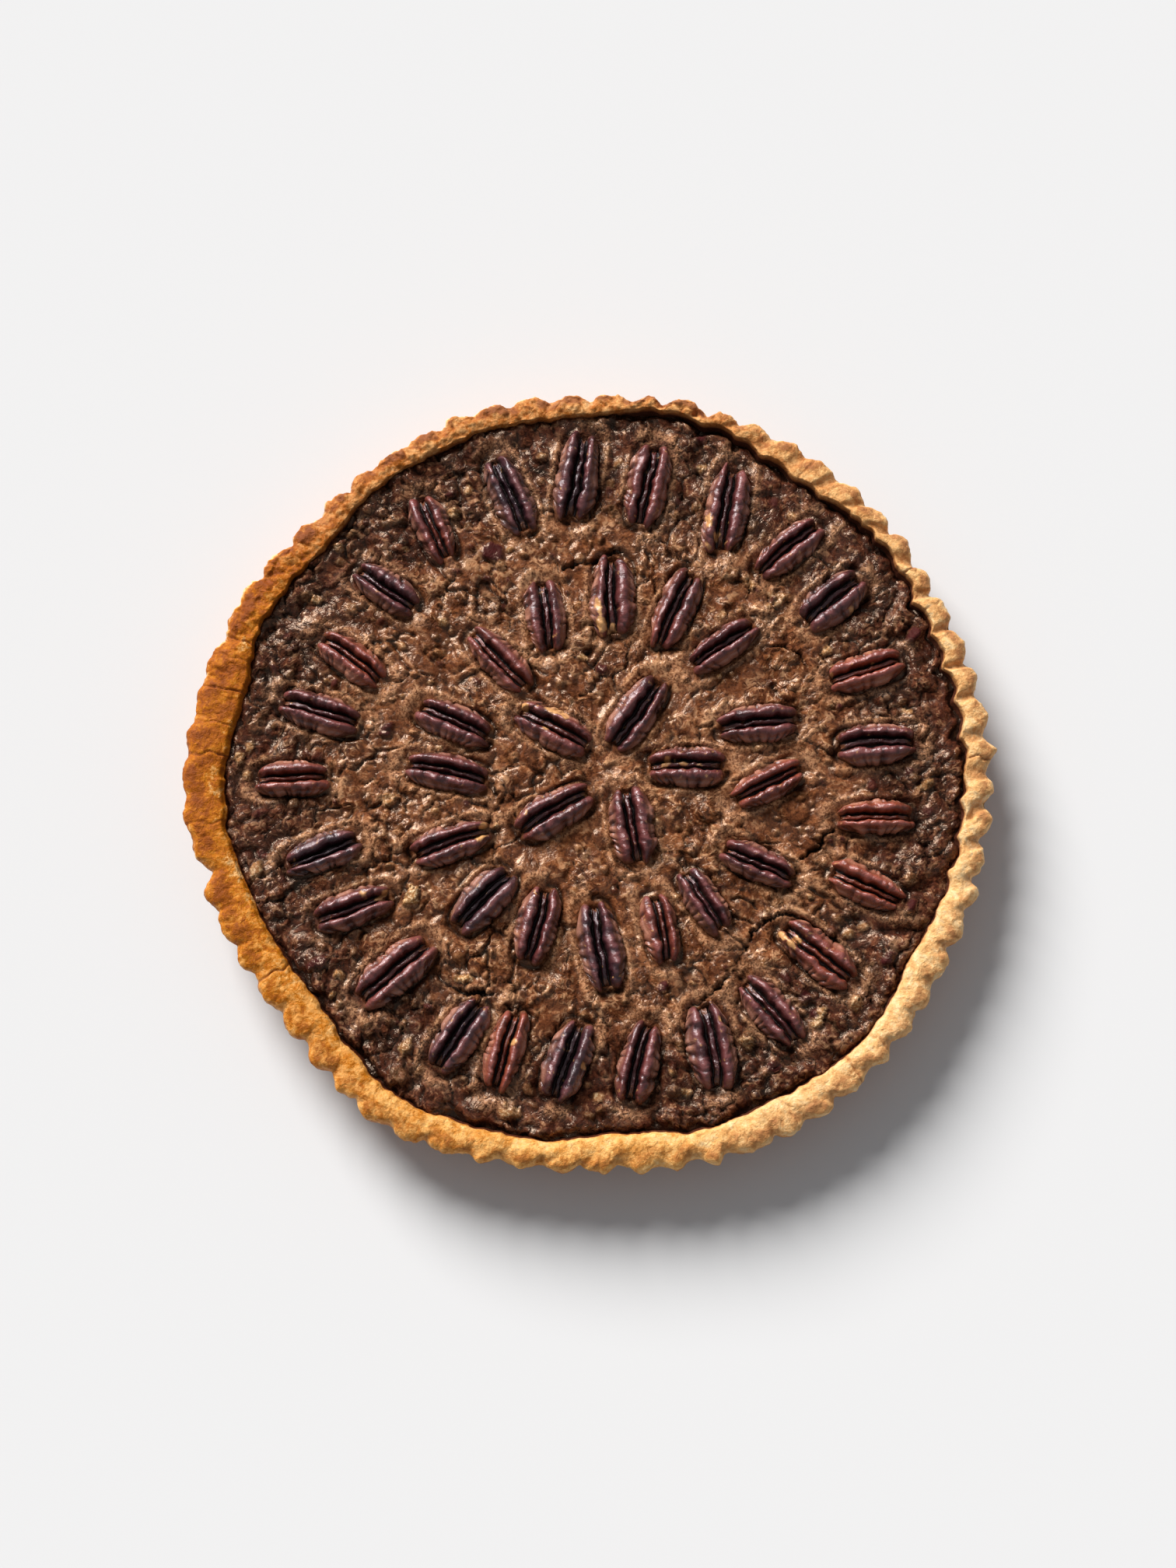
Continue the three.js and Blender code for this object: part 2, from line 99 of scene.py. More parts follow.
# How dark the crust is baked, every 30 degrees of bearing: 0 cream, 1 deep orange brown
BAKE = (0.80, 0.62, 0.40, 0.24, 0.22, 0.28, 0.42, 0.60, 0.84, 1.14, 1.02, 0.86)
BAKE_SPACING = 30.0

# Filling
FILLING_COLUMNS = 960
FILLING_RINGS = 150
FILLING_FLOOR_Z = 4.0
FILLING_EDGE_Z = 21.0
FILLING_CROWN = 1.3
FILLING_LOWEST = 17.5
FILLING_HIGHEST = 25.2
PECAN_SINK = 2.8
BLISTER_SPACING = 12.0
# Stretches where the filling shrank from the crust, and the one where it rose: as for the rim
SHRUNKEN = ((8, 22, 6), (52, 12, 6), (70, 10, 6), (190, 16, 6), (225, 20, 6), (330, 12, 6))
RISEN = (322, 52, 18)

# Gaps that opened in the filling's skin: width, depth and a line of x and y
SPLITS = (
    (1.8, 2.8, ((-48, -76), (-44, -79), (-38, -78), (-32, -80.5))),
    (0.9, 1.6, ((-31, -82.5), (-24, -85), (-17.5, -88))),
    (1.3, 2.4, ((53, -69), (57, -57), (62, -52.5), (72, -50.5), (82, -57), (92, -64))),
    (1.0, 2.0, ((33, -84.5), (42, -79.5), (52, -70.5))),
    (1.3, 2.4, ((73, -32), (80, -27.6), (84, -22), (87, -20))),
    (1.5, 2.4, ((-12, 73.5), (-4, 76), (4, 77.4), (9, 81), (14, 81.5))),
    (0.9, 1.8, ((61, 44.5), (70, 46.5), (75.5, 43), (77.5, 38.5))),
    (0.7, 1.6, ((-32.5, -1), (-33, -10))),
    (0.6, 1.2, ((-64, -27), (-61, -33), (-58, -40))),
    (0.6, 1.2, ((-49, -62), (-48, -66), (-47, -69))),
)

# Pieces of nut lying in the filling: x, y, length, width, height above it, turn, kind
CHIPS = (
    (-61.5, -44.5, 9, 6, 2.0, 70, "cream"), (-70, -10, 6, 5, 1.4, 20, "tan"),
    (-66.5, -21, 5, 4, 1.2, 50, "brown"), (-116, -35, 8, 5, 1.6, 80, "tan"),
    (-27, -120, 9, 4.5, 1.2, 0, "tan"), (-45, -66, 4.5, 4, 1.0, 0, "brown"),
    (-43, -73.5, 8, 3, 1.4, 5, "cream"), (26, -76, 5, 4, 1.2, 40, "maroon"),
    (80, -87, 9, 3.6, 1.8, 60, "cream"), (-123, 5, 5, 4, 1.2, 90, "tan"),
    (91, -57.5, 5, 4, 1.2, 30, "tan"), (72, 42, 6, 5, 1.4, 10, "brown"),
    (51, 72, 7, 6, 1.6, 0, "brown"), (68, 62.5, 6, 5, 1.6, 80, "tan"),
    (-34, 80.5, 10, 7, 1.0, 170, "maroon"), (41, 123, 5, 4, 1.2, 20, "maroon"),
    (-71, 15, 6, 4.5, 1.2, 50, "maroon"), (4.5, 37, 5, 4, 1.2, 0, "maroon"),
    (116, 50, 7, 5, 2.0, 45, "maroon"), (-94, -68, 9, 4.5, 1.4, 25, "maroon"),
    (104.5, -66.5, 8, 4, 1.4, 40, "maroon"), (113, -48, 6, 4, 1.4, 60, "maroon"),
    (-63, -97, 8, 4, 1.2, 55, "tan"), (-65, -107, 8, 6, 1.6, 140, "brown"),
    (64, -104, 7, 4, 1.2, 20, "maroon"), (93, -82, 6, 5, 1.8, 70, "tan"),
    (-70, 92, 9, 5, 1.4, 20, "brown"),
)
CHIP_KINDS = {"cream": 1.0, "tan": 0.55, "brown": 0.12, "maroon": -1.0}
CHIP_SIDES = 7
CRUMBS = 420
CRUMB_REACH = 122


def lattice(i, j, seed):
    """A number from 0 to 1 for each pair of whole numbers."""
    n = (i.astype(np.int64) * 374761393 + j.astype(np.int64) * 668265263 + seed * 144269504) & 0xFFFFFFFF
    n = ((n ^ (n >> 13)) * 1274126177) & 0xFFFFFFFF
    n = ((n ^ (n >> 15)) * 2246822519) & 0xFFFFFFFF
    return ((n ^ (n >> 16)) & 0xFFFF) / 65535.0


def smooth(t):
    """From 0 to 1 with soft ends."""
    t = np.clip(t, 0, 1)
    return t * t * (3 - 2 * t)


def grain(x, y, size, seed):
    """Smooth bumps from -1 to 1, about size millimetres across."""
    turn = seed * 0.7
    u = (x * math.cos(turn) - y * math.sin(turn)) / size + seed * 3.1
    v = (x * math.sin(turn) + y * math.cos(turn)) / size - seed * 1.7
    i, j = np.floor(u), np.floor(v)
    a, b = smooth(u - i), smooth(v - j)
    low = lattice(i, j, seed) * (1 - a) + lattice(i + 1, j, seed) * a
    high = lattice(i, j + 1, seed) * (1 - a) + lattice(i + 1, j + 1, seed) * a
    return 2 * (low * (1 - b) + high * b) - 1


def fractal(x, y, size, seed, octaves=3, fade=0.55):
    """Bumps with finer bumps on them."""
    total, weight = 0.0, 1.0
    for k in range(octaves):
        total = total + weight * grain(x, y, size / 2**k, seed + 13 * k)
        weight *= fade
    return total


def warp(x, y, amount, size, seed, octaves):
    """Places pushed aside by up to an amount, so that what is drawn there bends."""
    dx, dy = fractal(x, y, size, seed, octaves), fractal(x, y, size, seed + 1, octaves)
    return x + amount * dx, y + amount * dy


def billow(x, y, size, seed, octaves=2, fade=0.5):
    """Rounded lumps from 0 to 1 with sharp creases between them."""
    total, weight, most = 0.0, 1.0, 0.0
    for k in range(octaves):
        total = total + weight * np.minimum(1.8 * np.abs(grain(x, y, size / 1.9**k, seed + 13 * k)), 1)
        most += weight
        weight *= fade
    return total / most


def cells(x, y, size, seed):
    """Distances, in cells, to the two nearest of points strewn one to a cell, and the nearest's number."""
    u, v = x / size, y / size
    i, j = np.floor(u), np.floor(v)
    first, second = np.full(u.shape, 9.0), np.full(u.shape, 9.0)
    number = np.zeros(u.shape)
    for di in (-1, 0, 1):
        for dj in (-1, 0, 1):
            px = i + di + lattice(i + di, j + dj, seed)
            py = j + dj + lattice(i + di, j + dj, seed + 1)
            d = np.hypot(u - px, v - py)
            closer = d < first
            second = np.where(closer, first, np.minimum(second, d))
            number = np.where(closer, lattice(i + di, j + dj, seed + 2), number)
            first = np.where(closer, d, first)
    return first, second, number


def line_distance(x, y, line):
    """Distance to a line of points, and how far along it, from 0 to 1."""
    best, along = np.full(x.shape, 1e9), np.zeros(x.shape)
    steps = len(line) - 1
    for k in range(steps):
        (ax, ay), (bx, by) = line[k], line[k + 1]
        length = math.hypot(bx - ax, by - ay)
        t = np.clip(((x - ax) * (bx - ax) + (y - ay) * (by - ay)) / length**2, 0, 1)
        d = np.hypot(x - ax - t * (bx - ax), y - ay - t * (by - ay))
        along = np.where(d < best, (k + t) / steps, along)
        best = np.minimum(best, d)
    return best, along


def make_piece(name, points, faces, values, material, slot, *nodes):
    """A smooth closed mesh from points in millimetres, with its values for the material."""
    mesh = bpy.data.meshes.new(name)
    mesh.from_pydata((np.asarray(points) * MM).tolist(), [], faces)
    for value_name, value in values.items():
        value = np.asarray(value, np.float32)
        kind = "FLOAT" if value.ndim == 1 else "FLOAT_VECTOR"
        layer = mesh.attributes.new(value_name, kind, "POINT")
        layer.data.foreach_set("value" if value.ndim == 1 else "vector", value.ravel())
    mesh.shade_smooth()
    mesh.materials.append(material)
    mesh.validate()
    piece = bpy.data.objects.new(name, mesh)
    bpy.context.scene.collection.objects.link(piece)
    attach(piece, BODY)
    if nodes:
        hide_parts(*nodes)
    return piece


def ring_faces(counts):
    """Faces between rings that run clockwise seen from above, out and up from an underside middle.

    A ring has as many points as the last, or half as many."""
    starts = [1 + sum(counts[:k]) for k in range(len(counts))]
    end = 1 + sum(counts)
    faces = [(0, starts[0] + k, starts[0] + (k + 1) % counts[0]) for k in range(counts[0])]
    for low, high, below, above in zip(starts, starts[1:], counts, counts[1:]):
        for k in range(above):
            if below > above:
                a, b, c = (low + m % below for m in (2 * k, 2 * k + 1, 2 * k + 2))
                d, e = high + k, high + (k + 1) % above
                faces += [(a, d, b), (b, e, c), (b, d, e)]
            else:
                faces.append((low + k, high + k, high + (k + 1) % above, low + (k + 1) % below))
    last, start = counts[-1], starts[-1]
    faces += [(end, start + (k + 1) % last, start + k) for k in range(last)]
    return faces


# The CAD crust, measured from its middle along every bearing
crust_tree = BVHTree.FromObject(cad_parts["crust"], bpy.context.evaluated_depsgraph_get())


def reach(bearings, z, inside):
    """Radius of the crust's outer or inner wall at height z, along each bearing."""
    radii = []
    for b in np.radians(bearings):
        way = Vector((math.sin(b), math.cos(b), 0))
        start = Vector((0, 0, z)) if inside else way * RAY_START + Vector((0, 0, z))
        hit = crust_tree.ray_cast(start * MM, way if inside else -way)[0]
        radii.append(math.hypot(hit.x, hit.y) / MM)
    return np.array(radii)


def ring_blur(values, width):
    """Values round the pie, blurred over width columns."""
    span = int(3 * width) + 1
    kernel = np.exp(-0.5 * (np.arange(-span, span + 1) / width) ** 2)
    padded = np.concatenate([values[-span:], values, values[:span]])
    return np.convolve(padded, kernel / kernel.sum(), "valid")


def bearing_gap(bearing, other):
    """Degrees from one bearing to another, from -180 to 180."""
    return np.mod(bearing - other + 180, 360) - 180


def stretch_of(bearing, middle, reach_out, fade):
    """1 round a middle bearing, falling smoothly to 0 at its reach."""
    return smooth((reach_out - np.abs(bearing_gap(bearing, middle))) / fade)


def ring_grain(size, seed):
    """Smooth bumps from -1 to 1 round the pie, about size degrees across."""
    return grain(BEARINGS, 0 * BEARINGS, size, seed)


BEARINGS = np.arange(CRUST_COLUMNS) * 360.0 / CRUST_COLUMNS
COLUMNS_PER_DEGREE = CRUST_COLUMNS / 360.0
ROUND_X, ROUND_Y = np.sin(np.radians(BEARINGS)), np.cos(np.radians(BEARINGS))
OUTER = ring_blur(reach(BEARINGS, CRUST_WALL_Z, False), 0.35 * COLUMNS_PER_DEGREE)
FOOT = ring_blur(reach(BEARINGS, CRUST_FOOT_Z, False), 0.35 * COLUMNS_PER_DEGREE)
INNER = ring_blur(reach(BEARINGS, CRUST_LIP_Z, True), 0.8 * COLUMNS_PER_DEGREE)
OUTER_MEAN = ring_blur(OUTER, 4 * COLUMNS_PER_DEGREE)
SLIDE = 0.75 * ring_grain(3.0, 56) + 0.4 * ring_grain(1.3, 57)
FLUTES = np.interp(BEARINGS + SLIDE, BEARINGS, OUTER - OUTER_MEAN, period=360)
OUTER = OUTER_MEAN + FLUTES * (0.88 + 0.30 * ring_grain(5.0, 55))
EDGE_X, EDGE_Y = LIP_RADIUS * ROUND_X, LIP_RADIUS * ROUND_Y
OUTER = OUTER + 0.30 * fractal(EDGE_X, EDGE_Y, 2.4, 58, 2)
SHIFT_BEARINGS = np.arange(len(LIP_SHIFT)) * 360.0 / len(LIP_SHIFT)
SHIFT = np.interp(BEARINGS, SHIFT_BEARINGS, LIP_SHIFT, period=360)
LIP = ring_blur(INNER, 1.5 * COLUMNS_PER_DEGREE)
LIP = LIP + ring_blur(SHIFT, 1.2 * COLUMNS_PER_DEGREE)
LIP = LIP + 0.45 * FLUTES * stretch_of(BEARINGS, *PLEATED_LIP)
LIP = LIP + 0.65 * fractal(EDGE_X, EDGE_Y, 8.0, 51, 2) + 0.40 * fractal(EDGE_X, EDGE_Y, 2.8, 52, 2)


def along_ring(values, bearing):
    """Values given round the pie, read at any bearings."""
    return np.interp(np.mod(bearing, 360), np.append(BEARINGS, 360), np.append(values, values[0]))


# Materials


class Shader:
    """A procedural material, built a node at a time."""

    def __init__(self, name):
        self.material = bpy.data.materials.new(name)
        self.material.use_nodes = True
        self.tree = self.material.node_tree
        self.tree.nodes.clear()
        self.output = self.node("ShaderNodeOutputMaterial")
        self.surface = self.node("ShaderNodeBsdfPrincipled")
        self.link(self.surface.outputs[0], self.output.inputs[0])
        self.place = self.node("ShaderNodeTexCoord").outputs["Object"]

    def node(self, kind, **settings):
        made = self.tree.nodes.new(kind)
        for key, value in settings.items():
            setattr(made, key, value)
        return made

    def link(self, source, target):
        if hasattr(source, "links"):
            self.tree.links.new(source, target)
        else:
            target.default_value = source

    def value(self, name):
        return self.node("ShaderNodeAttribute", attribute_name=name).outputs["Fac"]

    def vector(self, name):
        return self.node("ShaderNodeAttribute", attribute_name=name).outputs["Vector"]

    def noise(self, size, detail=3.0, roughness=0.55, place=None, distortion=0.0):
        made = self.node("ShaderNodeTexNoise")
        self.link(place or self.place, made.inputs["Vector"])
        made.inputs["Scale"].default_value = 1.0 / (size * MM)
        made.inputs["Detail"].default_value = detail
        made.inputs["Roughness"].default_value = roughness
        made.inputs["Distortion"].default_value = distortion
        return made.outputs["Fac"]

    def dots(self, size):
        made = self.node("ShaderNodeTexVoronoi", feature="F1")
        self.link(self.place, made.inputs["Vector"])
        made.inputs["Scale"].default_value = 1.0 / (size * MM)
        return made.outputs["Distance"]

    def stretch(self, source, x, y, z):
        made = self.node("ShaderNodeVectorMath", operation="MULTIPLY")
        self.link(source, made.inputs[0])
        made.inputs[1].default_value = (x, y, z)
        return made.outputs[0]

    def ramp(self, source, low, high, out_low=0.0, out_high=1.0):
        made = self.node("ShaderNodeMapRange", interpolation_type="SMOOTHSTEP")
        self.link(source, made.inputs["Value"])
        made.inputs["From Min"].default_value = low
        made.inputs["From Max"].default_value = high
        made.inputs["To Min"].default_value = out_low
        made.inputs["To Max"].default_value = out_high
        return made.outputs["Result"]

    def math(self, operation, a, b):
        made = self.node("ShaderNodeMath", operation=operation)
        self.link(a, made.inputs[0])
        self.link(b, made.inputs[1])
        return made.outputs[0]

    def times(self, a, b):
        return self.math("MULTIPLY", a, b)

    def plus(self, a, b):
        return self.math("ADD", a, b)

    def mix(self, factor, a, b):
        made = self.node("ShaderNodeMix", data_type="RGBA")
        self.link(factor, made.inputs["Factor"])
        self.link(a, made.inputs["A"])
        self.link(b, made.inputs["B"])
        return made.outputs["Result"]

    def bump(self, height, depth, strength=1.0, before=None):
        made = self.node("ShaderNodeBump")
        made.inputs["Strength"].default_value = strength
        made.inputs["Distance"].default_value = depth * MM
        self.link(height, made.inputs["Height"])
        if before:
            self.link(before, made.inputs["Normal"])
        return made.outputs["Normal"]

    def finish(self, colour, roughness, normal, specular=None):
        self.link(colour, self.surface.inputs["Base Color"])
        self.link(roughness, self.surface.inputs["Roughness"])
        self.link(normal, self.surface.inputs["Normal"])
        if specular is not None:
            self.surface.inputs["Specular IOR Level"].default_value = specular
        return self.material


def shade(red, green, blue):
    """A colour given as it looks on screen, from 0 to 255."""
    def linear(c):
        c /= 255.0
        return c / 12.92 if c <= 0.04045 else ((c + 0.055) / 1.055) ** 2.4
    return (linear(red), linear(green), linear(blue), 1.0)


def crust_material():
    s = Shader("crust_baked")
    baked = s.node("ShaderNodeValToRGB")
    stops = ((0.0, shade(253, 216, 162)), (0.2, shade(246, 190, 124)), (0.44, shade(213, 146, 82)),
             (0.62, shade(180, 100, 22)), (0.8, shade(154, 80, 20)), (1.0, shade(94, 44, 20)))
    ramp = baked.color_ramp
    ramp.elements[0].position, ramp.elements[0].color = stops[0]
    ramp.elements[1].position, ramp.elements[1].color = stops[-1]
    for position, colour in stops[1:-1]:
        ramp.elements.new(position).color = colour
    patches = s.ramp(s.noise(5, 4, 0.62, distortion=0.5), 0.34, 0.66, -0.11, 0.15)
    fine = s.ramp(s.noise(1.3, 5, 0.72, distortion=0.4), 0.36, 0.64, -0.07, 0.08)
    baking, browning = s.times(s.value("bake"), 0.56), s.times(s.value("browning_and_painted_light"), 0.16)
    level = s.plus(s.plus(baking, browning), s.plus(patches, fine))
    s.link(level, baked.inputs["Fac"])
    browned = s.plus(s.value("browning_and_painted_light"), s.times(s.plus(patches, fine), 1.4))
    crisp = s.mix(s.value("bake"), shade(204, 142, 90), shade(134, 68, 26))
    golden = s.mix(s.ramp(browned, 0.12, 0.95, 0.0, 0.95), baked.outputs["Color"], crisp)
    # Where browning falls below nothing the crust turns cream: on the crumbly stretch's outer edge a
    # painted highlight, elsewhere paler blotches
    golden = s.mix(s.ramp(browned, -0.1, -0.5, 0.0, 0.8), golden, shade(253, 217, 162))
    # Past full browning the colour runs to near black, reached only down the inner wall: painted shade
    golden = s.mix(s.ramp(s.value("browning_and_painted_light"), 1.1, 2.0, 0.0, 1.0), golden, shade(62, 28, 20))
    rich = s.node("ShaderNodeHueSaturation")
    s.link(golden, rich.inputs["Color"])
    s.link(s.ramp(s.value("rich"), 0, 1, 1.0, 1.08), rich.inputs["Saturation"])
    s.link(s.ramp(s.value("rich"), 0, 1, 1.0, 1.05), rich.inputs["Value"])
    # Cracks, the folds' valleys, low spots and the lip's edge are painted darker: painted shade
    colour = s.mix(s.times(s.value("painted_shade"), 0.7), rich.outputs["Color"], shade(150, 80, 36))
    normal = s.bump(s.noise(0.9, 5, 0.7, distortion=0.5), 0.5, 0.8)
    normal = s.bump(s.noise(2.4, 3, 0.6, distortion=0.9), 0.9, 0.7, normal)
    roughness = s.ramp(s.noise(2.0, 3, 0.6), 0.3, 0.7, 0.42, 0.7)
    return s.finish(colour, roughness, normal, 0.22)


def filling_material():
    s = Shader("filling_set")
    brown, ochre, dark, deep = shade(107, 59, 34), shade(156, 96, 57), shade(52, 23, 13), shade(12, 4, 3)
    rim_brown, rim_dark, rim_light = shade(76, 37, 25), shade(30, 12, 9), shade(122, 70, 46)
    cream = shade(232, 178, 132)
    edge = s.value("edge")
    grit = s.noise(1.0, 4, 0.62, distortion=0.6)
    broad = s.noise(3.2, 3, 0.5, distortion=1.6)
    flow = s.noise(7.5, 3, 0.5, distortion=2.0)
    light = s.ramp(grit, 0.48, 0.62)
    shadow = s.ramp(grit, 0.45, 0.36)
    colour = s.mix(edge, brown, rim_brown)
    under = s.mix(edge, dark, rim_dark)
    bright = s.mix(edge, ochre, rim_light)
    colour = s.mix(s.ramp(flow, 0.49, 0.40, 0.0, 0.5), colour, under)
    colour = s.mix(s.ramp(flow, 0.51, 0.60, 0.0, 0.5), colour, bright)
    # Hollows of the broad bump are painted darker: painted shade
    colour = s.mix(s.ramp(broad, 0.46, 0.36, 0.0, 0.7), colour, under)
    froth = s.times(s.value("froth"), s.ramp(grit, 0.42, 0.6, 0.1, 0.85))
    colour = s.mix(froth, colour, shade(206, 152, 112))
    # The fine grit's high spots are painted lighter and its low spots darker, following its bump: painted
    # highlight and painted shade
    colour = s.mix(s.times(light, 0.22), colour, bright)
    colour = s.mix(s.times(shadow, 0.40), colour, under)
    # Cream on the broad bump's high spots and on the lumps' crests: a painted highlight, partly pale froth
    foam_and_highlight = s.times(s.ramp(broad, 0.54, 0.62), s.ramp(flow, 0.48, 0.58))
    foam_and_highlight = s.times(foam_and_highlight, s.ramp(grit, 0.38, 0.54, 0.45, 1.0))
    foam_and_highlight = s.times(foam_and_highlight, s.ramp(s.value("calm"), 0, 1, 1.0, 0.45))
    crest_highlight = s.times(s.value("crown"), s.ramp(broad, 0.47, 0.60, 0.0, 0.7))
    foam_and_highlight = s.math("MAXIMUM", foam_and_highlight, crest_highlight)
    colour = s.mix(s.times(foam_and_highlight, s.ramp(edge, 0, 1, 0.60, 0.34)), colour, cream)
    specks = s.ramp(s.dots(1.3), 0.10, 0.26, 1.0, 0.0)
    colour = s.mix(s.times(specks, 0.5), colour, deep)
    # Pale nut pieces, made lighter where the fine grit is high: a painted highlight
    colour = s.mix(s.value("pale"), colour, s.mix(light, shade(176, 124, 76), shade(236, 200, 154)))
    colour = s.mix(s.value("maroon"), colour, shade(70, 28, 28))
    # Pits, seams, creases, splits and gaps are painted near black: painted shade
    colour = s.mix(s.value("painted_shade"), colour, deep)
    gloss = s.ramp(s.noise(9.0, 3, 0.5, distortion=1.4), 0.42, 0.54)
    normal = s.bump(s.times(grit, s.ramp(gloss, 0, 1, 1.0, 0.5)), 0.34, 0.7)
    normal = s.bump(s.times(broad, s.ramp(s.value("calm"), 0, 1, 1.0, 0.4)), 1.0, 0.8, normal)
    shine = s.times(gloss, s.ramp(edge, 0, 1, 0.75, 0.7))
    s.surface.inputs["Specular Tint"].default_value = (1.0, 0.74, 0.56, 1.0)
    s.link(s.ramp(shine, 0, 1, 0.10, 0.9), s.surface.inputs["Specular IOR Level"])
    return s.finish(colour, s.ramp(gloss, 0, 1, 0.55, 0.25), normal)


def pecan_material():
    s = Shader("pecan_skin")
    place = s.vector("nut")
    skin, warm, night, groove = shade(100, 40, 38), shade(166, 76, 44), shade(60, 29, 40), shade(6, 2, 3)
    tone = s.value("tone")
    colour = s.mix(s.ramp(tone, 0, 1), skin, warm)
    colour = s.mix(s.ramp(tone, 0, -1), colour, night)
    streaks = s.ramp(s.noise(1.1, 4, 0.65, s.stretch(place, 0.35, 1.0, 1.0)), 0.3, 0.72)
    colour = s.mix(s.times(streaks, 0.5), colour, shade(42, 18, 22))
    colour = s.mix(s.times(s.value("crest"), 0.5), colour, shade(158, 92, 88))
    # Grooves and creases are painted near black: painted shade
    colour = s.mix(s.value("groove"), colour, groove)
    colour = s.mix(s.value("scuff"), colour, shade(222, 164, 104))
    # The bulges along each lobe's flank are painted lighter: a painted highlight
    colour = s.mix(s.value("bead_highlight"), colour, shade(186, 128, 104))
    colour = s.mix(s.value("foot"), colour, shade(120, 74, 46))
    wrinkles = s.noise(1.2, 4, 0.6, s.stretch(place, 1.0, 0.6, 1.0), 0.5)
    normal = s.bump(wrinkles, 0.42, 0.8)
    normal = s.bump(s.noise(0.35, 3, 0.6, place), 0.10, 0.6, normal)
    s.surface.inputs["Specular Tint"].default_value = (1.0, 0.93, 0.97, 1.0)
    roughness = s.ramp(s.noise(2.0, 3, 0.6, place), 0.3, 0.7, 0.27, 0.42)
    return s.finish(colour, roughness, normal, 1.0)


def floor_material():
    s = Shader("floor_pale")
    s.surface.inputs["Base Color"].default_value = (*FLOOR_COLOUR, 1.0)
    s.surface.inputs["Roughness"].default_value = 1.0
    s.surface.inputs["Specular IOR Level"].default_value = 0.0
    return s.material


# Crust


def shell_row(radius, z, browning_and_painted_light, painted_shade=0.0):
    """One level of the shell all round: its radius, height, browning (which also carries painted highlight
    and painted shade) and painted shade.
    """
    return tuple(part + 0 * BEARINGS for part in (radius, z, browning_and_painted_light, painted_shade))


def wall_rows(flute):
    """The flat underside and the fluted wall, upwards."""
    b = BEARINGS
    rows = [
        shell_row(FOOT * 0.7, 0, 0.3),
        shell_row(FOOT - 1.4, 0, 0.4),
        shell_row(FOOT - 0.5, 0.4, 0.5),
        shell_row(FOOT, CRUST_FOOT_Z, 0.5),
    ]
    for k in range(1, WALL_ROWS + 1):
        t = k / WALL_ROWS
        z = CRUST_FOOT_Z + t * (CRUST_WALL_Z - CRUST_FOOT_Z)
        dimple = 0.3 * fractal(b * ARC_PER_DEGREE, z + 0 * b, 5.0, 61)
        dimple = dimple + 0.15 * fractal(b * ARC_PER_DEGREE, z + 0 * b, 1.8, 62)
        rows.append(shell_row(FOOT + t * (OUTER - FOOT) + dimple, z, 0.75 + 0.15 * flute * t))
    return rows


def rim_cracks(s):
    """How deep the rim is cracked at a share of its width, all round."""
    b = BEARINGS
    groove = 0 * b
    for n, at in enumerate(RIM_CRACKS):
        wander = 0.5 * grain(s * 6 + 0 * b, 0 * b + n * 9.0, 1.5, 40 + n)
        off = bearing_gap(b, at + wander) * np.pi / 180 * RIM_RADIUS
        groove = np.maximum(groove, np.exp(-((off / RIM_CRACK_WIDTH) ** 2)) * (0.5 + 0.5 * (n % 2)))
    return groove


